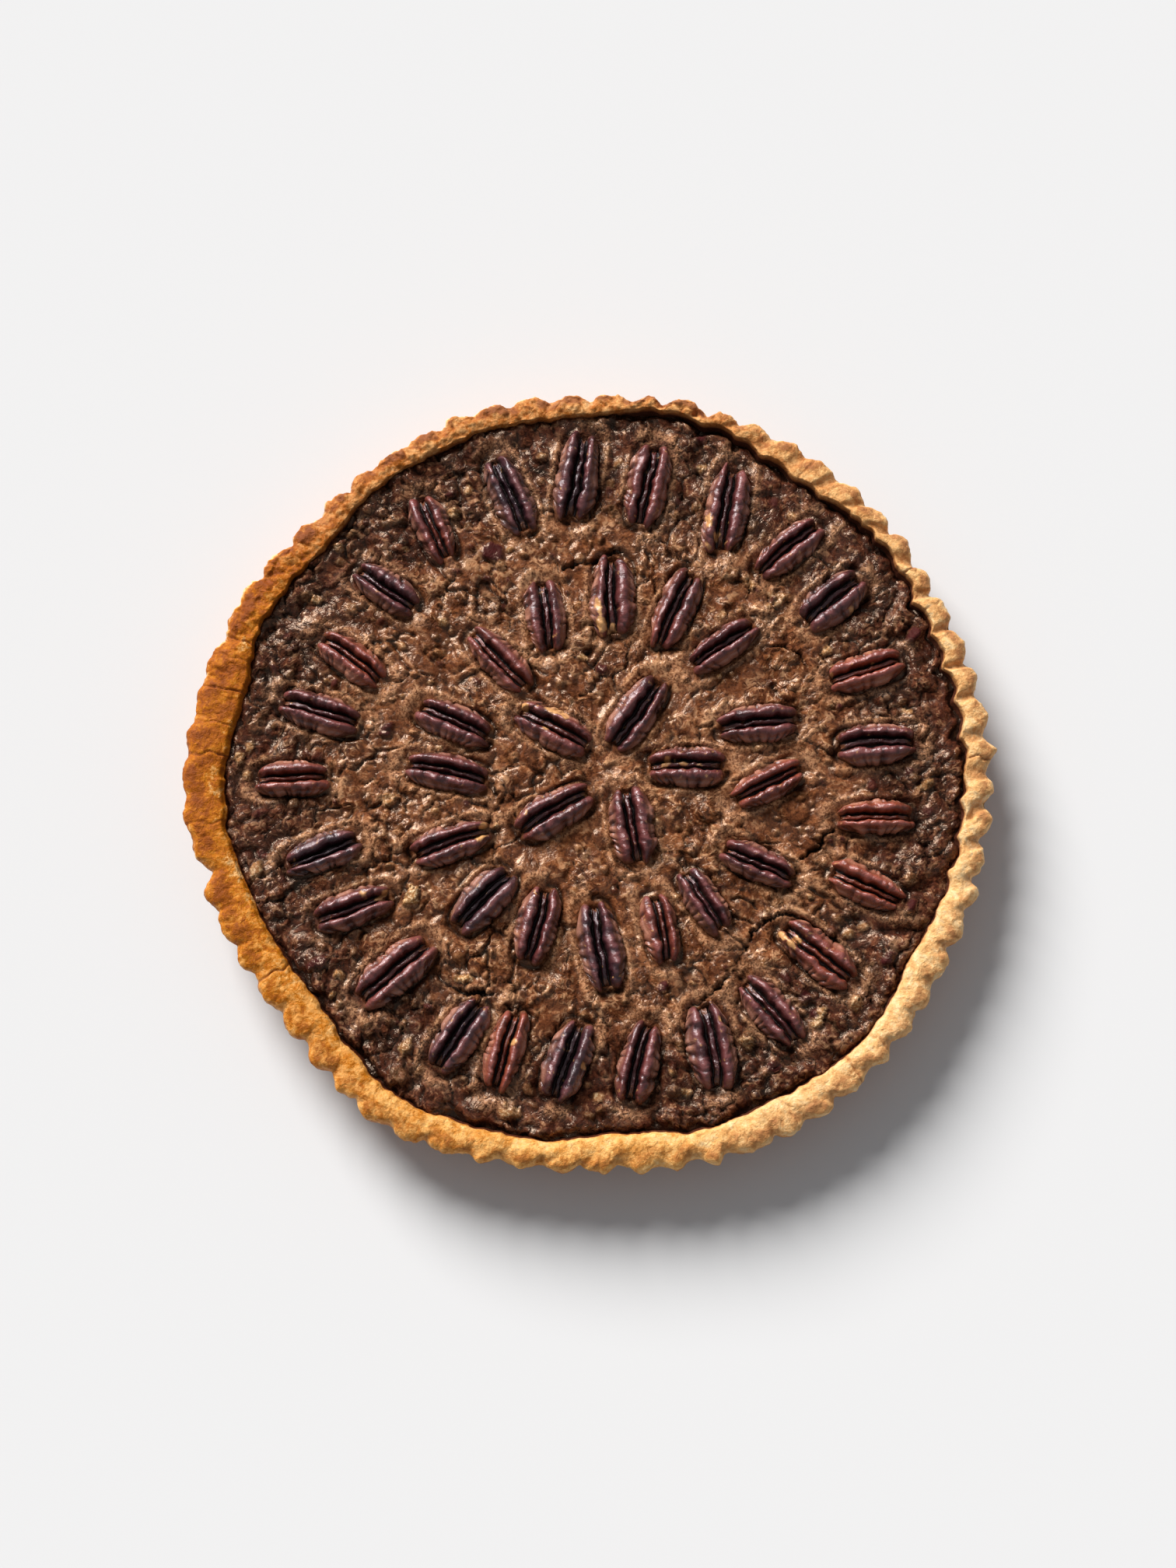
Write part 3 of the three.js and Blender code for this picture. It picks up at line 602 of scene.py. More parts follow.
def rim_rows(flute):
    """The top of the rim, inwards: folded by the flutes outside, smoother towards the filling."""
    b = BEARINGS
    crumble, broad, thin = (stretch_of(b, *stretch) for stretch in (CRUMBLY, BROAD, RIBBON))
    lean = 1.4 * ring_grain(25.0, 60)
    for degrees, stretch in LEANING:
        lean = lean + degrees * stretch_of(b, *stretch)
    crest = CRUST_CREST_SHARE + 0.36 * np.maximum(crumble, thin) + 0.06 * ring_grain(12.0, 59)
    rows = []
    for k in range(1, RIM_ROWS + 1):
        s = k / RIM_ROWS
        s = 0.35 * s + 0.65 * (0.5 - 0.5 * math.cos(math.pi * s))
        r = OUTER - (OUTER - LIP) * s
        px, py = r * ROUND_X, r * ROUND_Y
        # A rounded top that drops to the filling, folded in at each valley between flutes
        fold = along_ring(flute, b + lean * s + 0.5 * grain(px, py, 5.0, 63))
        valley = smooth((0.25 - fold) / 1.15)
        outer_q = np.clip(s / crest, 0, 1)
        inner_q = np.clip((s - crest) / (1 - crest), 0, 1)
        z = RIM_SHOULDER_Z + RIM_RISE * (1 - (1 - outer_q) ** 2.3) ** (1 / 2.3)
        z = z - (1.0 - 0.65 * np.maximum(crumble, thin)) * inner_q**2
        z = z - 1.6 * smooth((inner_q - 0.84) / 0.16)
        pleat = (1 - 0.5 * broad) * smooth((0.70 + 0.55 * thin - s) / 0.6)
        z = z - (1.5 + 0.8 * thin) * valley**1.6 * pleat * (0.75 + 0.35 * ring_grain(8.0, 64))
        # Lumps, cracks and flakes
        large, small = billow(px, py, 4.2, 6), billow(px, py, 1.9, 7)
        lumps = 0.35 * fractal(px, py, 8.0, 5) + (0.25 + 0.75 * crumble) * (large - 0.45)
        lumps = lumps + (0.16 + 0.16 * crumble) * (small - 0.45)
        groove = rim_cracks(s)
        edge_fade = 0.35 + 0.65 * smooth(5 * s)
        z = z + lumps * edge_fade - 0.9 * groove
        flakes = billow(*warp(px, py, 0.9, 3.0, 66, 2), 3.0, 68)
        z = z + (0.35 + 0.75 * crumble) * (flakes - 0.5) * edge_fade * smooth((0.9 - s) / 0.3)
        r = r + (0.3 + 0.35 * crumble) * fractal(px, py, 2.6, 8) * (1 - s)
        low = smooth((0.30 - large) / 0.3) * (0.25 + 0.5 * crumble)
        low = low + 0.35 * smooth((0.25 - small) / 0.25)
        # Browned along the crest and in blotches. Along the crumbly stretch the outer edge is painted
        # paler: a painted highlight. Elsewhere the outer edge is browned a little, and along the ribbon
        # stretch it is made a little paler.
        band = smooth((s - 0.05) / 0.16) * smooth((0.74 - s) / 0.34)
        blotch = smooth((fractal(px + 2 * grain(px, py, 4.0, 69), py, 4.6, 70, 3) + 0.25) / 0.5)
        tips = band * (0.14 + 0.34 * (1 - valley) + (0.06 + 0.5 * crumble) * (blotch - 0.35))
        edge_highlight_and_browning = crumble * smooth((0.10 - s) / 0.08)
        edge_highlight_and_browning = edge_highlight_and_browning - (1 - crumble) * (0.1 - 0.3 * thin) * smooth((0.3 - s) / 0.2)
        browning_and_painted_light = tips + 0.16 * fractal(px, py, 9.0, 10) + (0.35 - 0.2 * broad) * (flakes - 0.5) * band
        browning_and_painted_light = browning_and_painted_light - 0.45 * edge_highlight_and_browning
        browning_and_painted_light = browning_and_painted_light + 0.05 * crumble * smooth((s - 0.5) / 0.3) + 0.10 * thin * smooth((s - 0.72) / 0.2)
        shadow = groove + low + 0.6 * valley**2 * pleat * smooth(s * 6) + 0.4 * smooth((s - 0.96) / 0.04)
        rows.append(shell_row(r, z, np.clip(browning_and_painted_light, -0.6, 1), np.clip(shadow, 0, 1)))
    return rows


def build_crust(material):
    """The fluted shell: flat underside, fluted wall, pleated uneven rim and sloping inner side."""
    flute = np.clip((OUTER - OUTER_MEAN) / 1.9, -1.1, 1.1)
    wall = wall_rows(flute)
    top = rim_rows(flute)
    lip = top[-1][0]
    # Down the inner wall below the lip the crust is painted near black: painted shade, partly also filling
    # stuck to it
    top.append(shell_row(lip - 0.25, 21.0, 2.0, 0.2))
    top.append(shell_row(lip - 0.9, 19.5, 2.4, 0.2))
    top.append(shell_row(lip - 4.0, CRUST_FLOOR_Z, 2.4, 0.2))
    rows = wall + top
    points = [np.array([[0.0, 0.0, 0.0]])]
    for radius, z, _, _ in rows:
        points.append(np.stack([radius * ROUND_X, radius * ROUND_Y, z], 1))
    points.append(np.array([[0.0, 0.0, CRUST_FLOOR_Z]]))
    spots = np.arange(-1, len(BAKE) + 1)
    bake = np.interp(BEARINGS, spots * BAKE_SPACING, np.array(BAKE)[spots % len(BAKE)])
    bake = ring_blur(bake, 8 * COLUMNS_PER_DEGREE)
    rich = stretch_of(BEARINGS, *DEEP_GOLD)

    def spread(k, ends):
        return np.concatenate([[ends], *[row[k] for row in rows], [ends]])

    def two_part(on_wall, on_top, ends):
        return np.concatenate([[ends], np.tile(on_wall, len(wall)), np.tile(on_top, len(top)), [ends]])

    values = {
        "browning_and_painted_light": spread(2, 0.3),
        "painted_shade": spread(3, 0.0),
        "rich": two_part(0 * rich, rich, 0.0),
        "bake": two_part(0.25 + 0.45 * bake, bake, 0.5),
    }
    faces = ring_faces([CRUST_COLUMNS] * len(rows))
    return make_piece("crust_shell", np.concatenate(points), faces, values, material, "crust", "crust")


# Pecan halves, each where its CAD node lies


def nut_pose(node):
    """Middle of the flat underside, axes and sizes of a half, from its CAD node."""
    co = np.array([v.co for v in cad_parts[node].data.vertices]) / MM
    co = np.unique(np.round(co, 3), axis=0)
    centre = co.mean(0)
    axes = np.linalg.eigh(np.cov((co - centre).T))[1][:, ::-1].T
    along, across, up = axes
    if along @ np.array([centre[0], centre[1], 0]) < 0:
        along = -along
    if up[2] < 0:
        up = -up
    across = np.cross(up, along)
    spans = [(co - centre) @ a for a in (along, across, up)]
    middle = [0.5 * (s.min() + s.max()) for s in spans]
    foot = centre + along * middle[0] + across * middle[1] + up * spans[2].min()
    return {
        "foot": foot, "along": along, "across": across, "up": up,
        "length": np.ptp(spans[0]), "width": np.ptp(spans[1]), "height": np.ptp(spans[2]),
    }


NUTS = {name: nut_pose(name) for name in sorted(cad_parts) if name.startswith("pecan")}

# Redder and browner halves above 0, purple-black ones below
TONES = {
    "pecan_outer_06": 0.75, "pecan_outer_08": 1.0, "pecan_outer_09": 0.65, "pecan_outer_10": 0.75,
    "pecan_outer_15": 0.6, "pecan_outer_20": 0.7, "pecan_outer_22": 0.5, "pecan_middle_05": 0.7,
    "pecan_middle_08": 0.35, "pecan_middle_15": 0.4, "pecan_outer_24": 0.3, "pecan_inner_05": 0.3,
    "pecan_outer_01": -0.7, "pecan_outer_05": -0.4, "pecan_outer_16": -0.7, "pecan_outer_19": -0.9,
    "pecan_outer_23": -0.5, "pecan_outer_25": -0.9, "pecan_middle_09": -0.9, "pecan_middle_11": -0.7,
    "pecan_inner_01": -0.6, "pecan_outer_14": -0.6, "pecan_outer_12": -0.4, "pecan_middle_07": -0.4,
}
# Skin rubbed off to the pale nut: share along and across the half, and size in millimetres
SCUFFS = {
    "pecan_inner_05": ((0.2, -0.75, 2.2), (-0.12, -0.78, 1.9), (0.93, -0.3, 1.7), (0.1, 0.35, 0.9)),
    "pecan_inner_02": ((-0.6, 0.02, 1.2), (-0.5, 0.2, 0.9), (-0.1, 0.02, 1.0), (0.35, 0.0, 0.8)),
    "pecan_inner_04": ((-0.98, 0.1, 1.3), (0.6, -0.5, 0.7)),
    "pecan_outer_10": ((-0.8, -0.5, 1.8), (-0.55, -0.55, 1.6), (-0.6, -0.05, 1.4)),
    "pecan_outer_18": ((-0.8, 0.0, 1.5), (-0.95, -0.3, 1.1), (-0.4, -0.4, 1.2)),
    "pecan_middle_01": ((-0.75, 0.5, 2.2), (-0.95, 0.0, 2.0), (-0.35, 0.6, 1.8)),
    "pecan_outer_03": ((-0.4, 0.7, 2.0), (-0.7, 0.2, 1.4)),
    "pecan_outer_06": ((-0.92, 0.3, 1.1),),
    "pecan_outer_05": ((0.2, -0.95, 1.4),),
    "pecan_outer_14": ((0.0, 0.8, 1.2),),
    "pecan_outer_12": ((-0.5, 0.6, 0.9), (-0.35, 0.62, 0.7)),
    "pecan_middle_12": ((-0.95, -0.3, 1.9), (-0.72, 0.36, 1.5)),
    "pecan_outer_15": ((-0.2, 0.3, 0.9),),
}
# Section of a half from its foot up over a lobe to the ridge in the middle: shares of half width and of
# height. The other side is its mirror.
NUT_SIDE = (
    (-0.55, 0.0), (-0.88, 0.10), (-1.0, 0.32), (-0.98, 0.50), (-0.92, 0.62), (-0.86, 0.68), (-0.81, 0.67),
    (-0.76, 0.80), (-0.66, 0.93), (-0.52, 1.0), (-0.40, 0.99), (-0.31, 0.88), (-0.25, 0.60), (-0.20, 0.30),
    (-0.165, 0.24), (-0.13, 0.34), (-0.10, 0.60), (-0.04, 0.74),
)
NUT_SECTION = NUT_SIDE + tuple((-across, up) for across, up in reversed(NUT_SIDE))
NUT_STEPS = 64
NUT_AROUND = 92
NUT_LENGTH_SHARE = 0.97
NUT_WIDTH_SHARE = 1.06
LOBE_TOP = 0.48
GROOVE_AT = 0.18


def section_curve(count):
    """The section as evenly spread points on a smooth curve through its named ones."""
    named = np.array(NUT_SECTION)
    run = np.concatenate([[0], np.cumsum(np.hypot(*np.diff(named, axis=0).T))])
    t = np.linspace(0, run[-1], count)
    fine = np.linspace(0, run[-1], 800)
    soft = []
    for k in range(2):
        column = np.interp(fine, run, named[:, k])
        kernel = np.exp(-0.5 * (np.arange(-24, 25) / 5.0) ** 2)
        padded = np.pad(column, 24, mode="edge")
        soft.append(np.interp(t, fine, np.convolve(padded, kernel / kernel.sum(), "valid")))
    return np.stack(soft, 1)


def build_nut(node, number, material):
    """One half: two wrinkled lobes, deep grooves and a thin ridge between them."""
    pose = NUTS[node]
    draw = np.random.default_rng(900 + number)
    length, width = NUT_LENGTH_SHARE * pose["length"], NUT_WIDTH_SHARE * pose["width"]
    height = pose["height"]
    section = section_curve(NUT_AROUND)
    even = np.linspace(-1, 1, NUT_STEPS)
    steps = 0.45 * even + 0.55 * np.sin(even * math.pi / 2)
    t, a = np.meshgrid(steps, section[:, 0], indexing="ij")
    up = np.broadcast_to(section[:, 1], t.shape).copy()
    seed = 200 + 11 * number
    run = t * length / 2
    # Grooves and ridge vary along the nut
    bend = draw.uniform(-0.13, 0.13) * (1 - t**2) + draw.uniform(-0.09, 0.09) * t
    twist = 0.09 * grain(run, 0 * run, 6.0, seed)
    lean = draw.uniform(-0.08, 0.08)
    size = np.abs(a)
    taper = draw.uniform(-0.10, 0.10)
    plan = (1 - 0.22 * np.abs(t) ** 3.4) * (1 + taper * t) / (1 + abs(taper) * 0.5)
    plan = plan * (1 + 0.06 * grain(run, np.sign(a) * 5, 5.0, seed + 1))
    notch = draw.uniform(0.10, 0.2, 2)
    corner = draw.uniform(0.22, 0.36, 4)
    deep = np.where(t > 0, notch[0], notch[1])
    outer_end, inner_end = np.where(a > 0, corner[0], corner[1]), np.where(a > 0, corner[2], corner[3])
    round_off = np.where(t > 0, outer_end, inner_end)
    notched = 1 - deep * (1 - np.minimum(size / LOBE_TOP, 1)) ** 1.6
    rounded = 1 - round_off * ((size - LOBE_TOP) / (1 - LOBE_TOP)) ** 2
    lobe = np.where(size < LOBE_TOP, notched, rounded)
    lobe = lobe * (1 + draw.uniform(-0.05, 0.05) * np.sign(a) * smooth(size * 4))
    crown = (1 - np.abs(t) ** 4.4) ** 0.5
    in_groove = np.exp(-(((size - GROOVE_AT) / 0.075) ** 2)) * (up > 0.15)
    ridge = np.exp(-((a / 0.09) ** 2)) * (up > 0.3)
    up = up - ridge * (0.08 + 0.10 * t**2 + 0.10 * grain(run, 0 * run, 5.0, seed + 2))
    side = a * plan + (bend + twist * 0.5) * smooth(1 - size)
    z = height * up * crown * (1 + lean * a)
    # Each lobe is pinched into segments, with finer wrinkles across them
    top = smooth((up - 0.35) / 0.3)
    flank = smooth((size - 0.62) / 0.2)
    slant = draw.uniform(-2.5, 2.5, 2)
    lobe_id = np.where(a > 0, 11.0, 0.0)
    side_mm = a * width / 2
    shift = np.where(a > 0, slant[0], slant[1]) * (size - 0.5) * 2
    wander = run + shift + 0.8 * grain(run, side_mm, 2.6, seed + 20)
    pinch = 1 - np.minimum(2.6 * np.abs(grain(wander, lobe_id, 4.2, seed + 3)), 1)
    fine = 1 - np.minimum(1.8 * np.abs(grain(run - shift, lobe_id + 4 * flank, 1.5, seed + 4)), 1)
    edge = 1 - np.minimum(2.0 * np.abs(grain(run + 0.6 * shift, lobe_id + 7, 2.7, seed + 5)), 1)
    creases = (0.48 * pinch**2 + 0.26 * fine**2) * top * (1 - flank)
    creases = creases + (0.85 * edge**2 + 0.3 * fine**2) * flank
    soft = 2.0 * fractal(run, side_mm, 3.0, seed + 6)
    hem = np.exp(-(((size - 0.27) / 0.07) ** 2)) * grain(run, lobe_id + 3, 2.0, seed + 22)
    z = z - (creases * (1 - in_groove) - 0.22 * soft * top) * smooth((1 - np.abs(t)) / 0.12)
    side = side * (1 - 0.085 * smooth((size - 0.5) / 0.3) * edge**2)
    side = side + 0.02 * soft + 0.055 * np.sign(a) * hem
    x = run * lobe + 0.15 * grain(a * 6, t * 3, 1.2, seed + 7)
    y = side * width / 2
    points = pose["foot"]
    for part, axis in ((x, "along"), (y, "across"), (z, "up")):
        points = points + part[..., None] * pose[axis]
    ends = [points[0].mean(0), points[-1].mean(0)]
    # Values for the skin
    # The grooves, the ridge between them and the lobes' creases are painted darker: painted shade
    ridge_shade = 0.6 * ridge * (0.4 + 0.4 * grain(run, 0 * run, 4.0, seed + 8))
    groove = np.clip(in_groove * 1.25 + ridge_shade, 0, 1) * smooth((1.02 - np.abs(t)) / 0.12)
    groove = np.maximum(groove, 0.8 * creases)
    # Lighter on the flank's bulges: a painted highlight
    bead_highlight = flank * (1 - edge) * smooth((up - 0.12) / 0.2)
    bead_highlight = bead_highlight * (0.6 + 0.4 * grain(run, lobe_id, 6.0, seed + 21))
    crest = np.exp(-(((size - 0.5) / 0.16) ** 2)) * top * (1 - pinch)
    scuff = 0.7 * smooth((grain(run, side_mm, 1.1, seed + 10) - 0.86) / 0.08)
    for along, across, spot in SCUFFS.get(node, ()):
        d = np.hypot((t - along) * length / 2 * 0.7, (a - across) * width / 2)
        d = d + 0.5 * fractal(run, side_mm, 1.6, seed + 9)
        scuff = np.maximum(scuff, smooth((spot - d) / 0.5))
    above = (points[..., 2] - pose["foot"][2]) - PECAN_SINK
    foot = smooth((0.9 - above + 0.9 * fractal(run, side_mm, 2.0, seed + 11)) / 0.8) * (1 - in_groove)
    tone = TONES.get(node, 0.1) + draw.uniform(-0.15, 0.15) + 0.25 * grain(run, a * 5, 8.0, seed + 12)
    place = np.stack([x + 40 * number, y, z], -1) * MM

    def spread(grid):
        flat = grid.reshape(-1, grid.shape[-1]) if grid.ndim == 3 else grid.ravel()
        return np.concatenate([flat[:1], flat, flat[-1:]])

    values = {
        "groove": spread(groove), "crest": spread(crest), "tone": spread(tone), "scuff": spread(scuff),
        "bead_highlight": spread(np.clip(bead_highlight, 0, 0.7)), "foot": spread(foot * 0.8), "nut": spread(place),
    }
    cloud = np.concatenate([[ends[0]], points.reshape(-1, 3), [ends[1]]])
    faces = ring_faces([NUT_AROUND] * NUT_STEPS)
    return make_piece(node.replace("pecan", "nut"), cloud, faces, values, material, "pecan", node)


# Filling


def nut_frame(x, y, pose):
    """Places over a half, as shares along and across it."""
    dx, dy = x - pose["foot"][0], y - pose["foot"][1]
    along = (dx * pose["along"][0] + dy * pose["along"][1]) / (pose["length"] / 2)
    across = (dx * pose["across"][0] + dy * pose["across"][1]) / (pose["width"] / 2)
    return along, across


def crumb_rows():
    """The named pieces and many small crumbs between the halves, more of them near the crust."""
    rows = [row[:6] + (CHIP_KINDS[row[6]],) for row in CHIPS]
    draw = np.random.default_rng(4)
    while len(rows) < len(CHIPS) + CRUMBS:
        radius, turn = CRUMB_REACH * draw.uniform(0, 1) ** 0.42, draw.uniform(0, 2 * math.pi)
        x, y = radius * math.sin(turn), radius * math.cos(turn)
        length = draw.uniform(1.8, 4.6) * (1.15 if radius > 95 else 0.85)
        pick = draw.uniform()
        if pick < 0.16:
            kind = -draw.uniform(0.4, 1.0)
        elif pick > 0.86:
            kind = draw.uniform(0.35, 0.9)
        else:
            kind = draw.uniform(0, 0.25)
        width, height = length * draw.uniform(0.5, 0.95), draw.uniform(0.45, 1.25)
        angle = draw.uniform(0, 360)
        if all(max(map(abs, nut_frame(x, y, pose))) > 1.12 for pose in NUTS.values()):
            rows.append((x, y, length, width, height, angle, kind))
    return rows


def add_chips(x, y, height, pale, maroon, dark):
    """Broken, flat-topped pieces standing a little out of the filling."""
    for number, (cx, cy, length, width, rise, turn, kind) in enumerate(crumb_rows()):
        near = (np.abs(x - cx) < length) & (np.abs(y - cy) < length)
        draw = np.random.default_rng(5000 + number)
        dx, dy = x[near] - cx, y[near] - cy
        ct, st = math.cos(math.radians(turn)), math.sin(math.radians(turn))
        u, v = (dx * ct + dy * st) / (length / 2), (dy * ct - dx * st) / (width / 2)
        reach_out = np.full(u.shape, -9.0)
        for k in range(CHIP_SIDES):
            way = 2 * math.pi * (k + draw.uniform(0.1, 0.9)) / CHIP_SIDES
            side = u * math.cos(way) + v * math.sin(way)
            reach_out = np.maximum(reach_out, side / draw.uniform(0.72, 1.0))
        rough = 0.14 * fractal(dx + number, dy, 1.5, 130, 2)
        off = (reach_out + rough - 1) * min(length, width) / 2
        body = smooth(0.5 - off / 0.7)
        tilt = 1 + draw.uniform(-0.4, 0.4) * u + draw.uniform(-0.4, 0.4) * v
        tilt = tilt + 0.35 * (billow(dx + number, dy, 2.2, 131) - 0.5)
        height[near] += rise * body * tilt - 0.35 * np.exp(-(((off - 0.7) / 0.5) ** 2))
        # The groove round each piece is painted darker: painted shade
        dark[near] = np.maximum(dark[near] * (1 - body), 0.4 * np.exp(-(((off - 0.6) / 0.5) ** 2)))
        if kind > 0:
            pale[near] = np.maximum(pale[near], kind * body)
        else:
            maroon[near] = np.maximum(maroon[near], -kind * body)


def skin_level(x, y, share):
    """Height of the skin before its relief: level with where the halves sit, higher in the middle."""
    base = FILLING_EDGE_Z + FILLING_CROWN * (1 - share**3)
    weight, level = np.full(x.shape, 0.35), base * 0.35
    for pose in NUTS.values():
        w = np.exp(-((x - pose["foot"][0]) ** 2 + (y - pose["foot"][1]) ** 2) / (2 * 12.0**2))
        weight, level = weight + w, level + w * (pose["foot"][2] + PECAN_SINK)
    return level / weight


def skin_relief(x, y, base, ring):
    """A skin of tilted plates, cracks, lumps and blisters: its height, the painted shade of its hollows,
    its crests, which take a painted highlight, and its calm parts.
    """
    # Parts of the middle are smooth and glazed
    calm = smooth((fractal(x, y, 17.0, 117, 2) + 0.30 - 0.55 * ring) / 0.35)
    rough = (0.80 + 0.36 * ring) * (1 - 0.2 * calm)
    fuss = 1 - 0.8 * calm
    warp_x, warp_y = warp(x, y, 2.6, 10.0, 105, 3)
    swell = 0.55 * fractal(x, y, 14.0, 101, 2)
    boulders = billow(warp_x, warp_y, 11.0, 114, 1)
    lumps = billow(warp_x, warp_y, 6.0, 102, 1)
    knobs = billow(warp_x, warp_y, 3.0, 103)
    # Tilted plates with thin cracks between some of them
    first, second, number = cells(warp_x, warp_y, 11.0, 107)
    border = (second - first) * 5.5
    cracked = smooth((fractal(x, y, 15.0, 108, 2) + 0.15) / 0.3)
    seam = np.exp(-((border / 0.42) ** 2)) * cracked
    step = (number - 0.5) * smooth(border / 1.1)
    curl = np.exp(-(((border - 0.9) / 0.6) ** 2)) * cracked
    # Shards of skin, more of them near the crust, and pits
    small, near, tint = cells(warp_x + 40, warp_y, 4.6, 115)
    flaky = smooth((fractal(x, y, 13.0, 116, 2) + 0.35 * ring - 0.12) / 0.4)
    shard = smooth((near - small) / 0.22) * (tint - 0.35) * flaky * (1 - 0.85 * calm)
    pit_d, _, pit_n = cells(warp_x, warp_y, 2.3, 109)
    pits = (pit_n > 0.84) * smooth((0.26 - pit_d) / 0.14) * fuss
    relief = 1.4 * (boulders - 0.6) + fuss * (0.8 * (lumps - 0.5) + 0.28 * (knobs - 0.45))
    height = base + swell + rough * relief
    height = height + (1.2 - 0.5 * calm) * step + 0.9 * shard + 0.35 * curl - 1.1 * seam - 0.5 * pits
    # Round blisters, each with a thin crack round it
    bent_x, bent_y = warp(x, y, 1.2, 6.0, 118, 2)
    away, _, size = cells(bent_x + 70, bent_y, BLISTER_SPACING, 120)
    girth = (0.24 + 0.5 * np.clip(size - 0.6, 0, 0.4)) * (size > 0.6)
    dome = np.sqrt(np.clip(1 - (away / np.maximum(girth, 0.01)) ** 2, 0, 1)) * (size > 0.6)
    crack = np.exp(-(((away - girth) * BLISTER_SPACING / 0.35) ** 2)) * (size > 0.6)
    height = height + 0.8 * dome - 0.7 * crack
    creases = fuss * (0.5 * smooth((0.2 - boulders) / 0.2) + 0.5 * smooth((0.2 - lumps) / 0.2))
    creases = np.maximum(creases, 0.8 * crack)
    # Painted shade in the pits, seams, creases and the cracks round the blisters
    dark = np.maximum(0.75 * pits, np.maximum(0.95 * seam, creases * (0.7 + 0.4 * ring)))
    # Crests, painted with a highlight by the material
    crown = smooth((boulders * 0.5 + lumps * 0.5 - 0.74) / 0.2)
    crown = np.maximum(crown, np.maximum(0.8 * curl, smooth((shard - 0.3) / 0.25)))
    return height, dark, crown, calm


def seat_halves(x, y, height, dark, froth):
    """The skin climbs the halves a little, is frothy round them and has sunk away in places."""
    for number, pose in enumerate(NUTS.values()):
        box = (np.abs(x - pose["foot"][0]) < 26) & (np.abs(y - pose["foot"][1]) < 26)
        along, across = nut_frame(x[box], y[box], pose)
        size = (np.abs(along) ** 3.4 + np.abs(across) ** 3.4) ** (1 / 3.4)
        off = (size - 1) * pose["width"] / 2
        turn = np.degrees(np.arctan2(across, along)) + 37 * number
        gap = smooth(grain(turn, 0 * turn, 50.0, 300 + number) / 0.4)
        lip = np.exp(-(((off - 1.5) / 1.0) ** 2)) * (1 - gap)
        ditch = np.exp(-(((off - 0.2) / 0.6) ** 2)) * (0.25 + 0.75 * gap)
        height[box] += 0.5 * lip - 1.6 * ditch
        # The ditch against each half is painted dark: painted shade
        dark[box] = np.maximum(dark[box] * (1 - 0.6 * lip), 0.9 * ditch)
        froth[box] = np.maximum(froth[box], lip)
        under = smooth((-0.5 - off) / 1.0)
        sunk = pose["foot"][2] + 0.4
        height[box] = height[box] * (1 - under) + np.minimum(height[box], sunk) * under


def open_splits(x, y, height, dark):
    """Cut the long gaps in the skin and curl up their edges."""
    wiggle_x, wiggle_y = warp(x, y, 0.9, 3.4, 110, 2)
    for width, depth, line in SPLITS:
        d, along = line_distance(wiggle_x, wiggle_y, line)
        taper = smooth(along / 0.25) * smooth((1 - along) / 0.25)
        cut = smooth((width / 2 * (0.2 + 0.8 * taper) - d) / 0.4 + 0.4)
        curl = np.exp(-(((d - width / 2 - 0.8) / 0.9) ** 2)) * taper
        height += 0.45 * curl - depth * cut
        # The gaps are painted dark: painted shade
        dark[:] = np.maximum(dark, cut)


def meet_crust(x, y, bearing, inset, height, dark):
    """Where it meets the crust it has shrunk away along some stretches and risen along one."""
    shrunk = smooth((fractal(bearing * 0.6, 0 * bearing, 14.0, 112, 2) + 0.15) / 0.5)
    for stretch in SHRUNKEN:
        shrunk = np.maximum(shrunk, stretch_of(bearing, *stretch))
    gap_width = 1.2 + 1.7 * shrunk + 1.7 * fractal(x, y, 5.0, 113, 3)
    risen = stretch_of(bearing, *RISEN)
    edge_gap = smooth((gap_width - inset) / 0.9) * (0.55 + 0.45 * shrunk) * (1 - 0.75 * risen)
    height -= 1.5 * edge_gap
    height -= 0.6 * smooth((3 - inset) / 3)
    height += 2.0 * risen * smooth((9 - inset) / 9)
    # The gap by the crust is painted dark: painted shade
    dark[:] = np.maximum(dark, 0.9 * edge_gap)


def filling_top(x, y):
    """Height of the filling and its values for the material, at each place."""
    radius = np.hypot(x, y)
    bearing = np.degrees(np.arctan2(x, y))
    wall = along_ring(LIP, bearing)
    ring = smooth((radius + 5 * fractal(x, y, 20.0, 100, 2) - 84) / 26)
    base = skin_level(x, y, np.clip(radius / wall, 0, 1))
    height, dark, crown, calm = skin_relief(x, y, base, ring)
    froth, pale, maroon = np.zeros(x.shape), np.zeros(x.shape), np.zeros(x.shape)
    add_chips(x, y, height, pale, maroon, dark)
    seat_halves(x, y, height, dark, froth)
    open_splits(x, y, height, dark)
    meet_crust(x, y, bearing, wall - radius, height, dark)
    dark = np.clip(dark, 0, 1)
    values = {
        "painted_shade": dark, "edge": ring, "froth": froth, "pale": pale, "maroon": maroon,
        "crown": crown * (1 - dark), "calm": calm,
    }
    return np.clip(height, FILLING_LOWEST, FILLING_HIGHEST), values


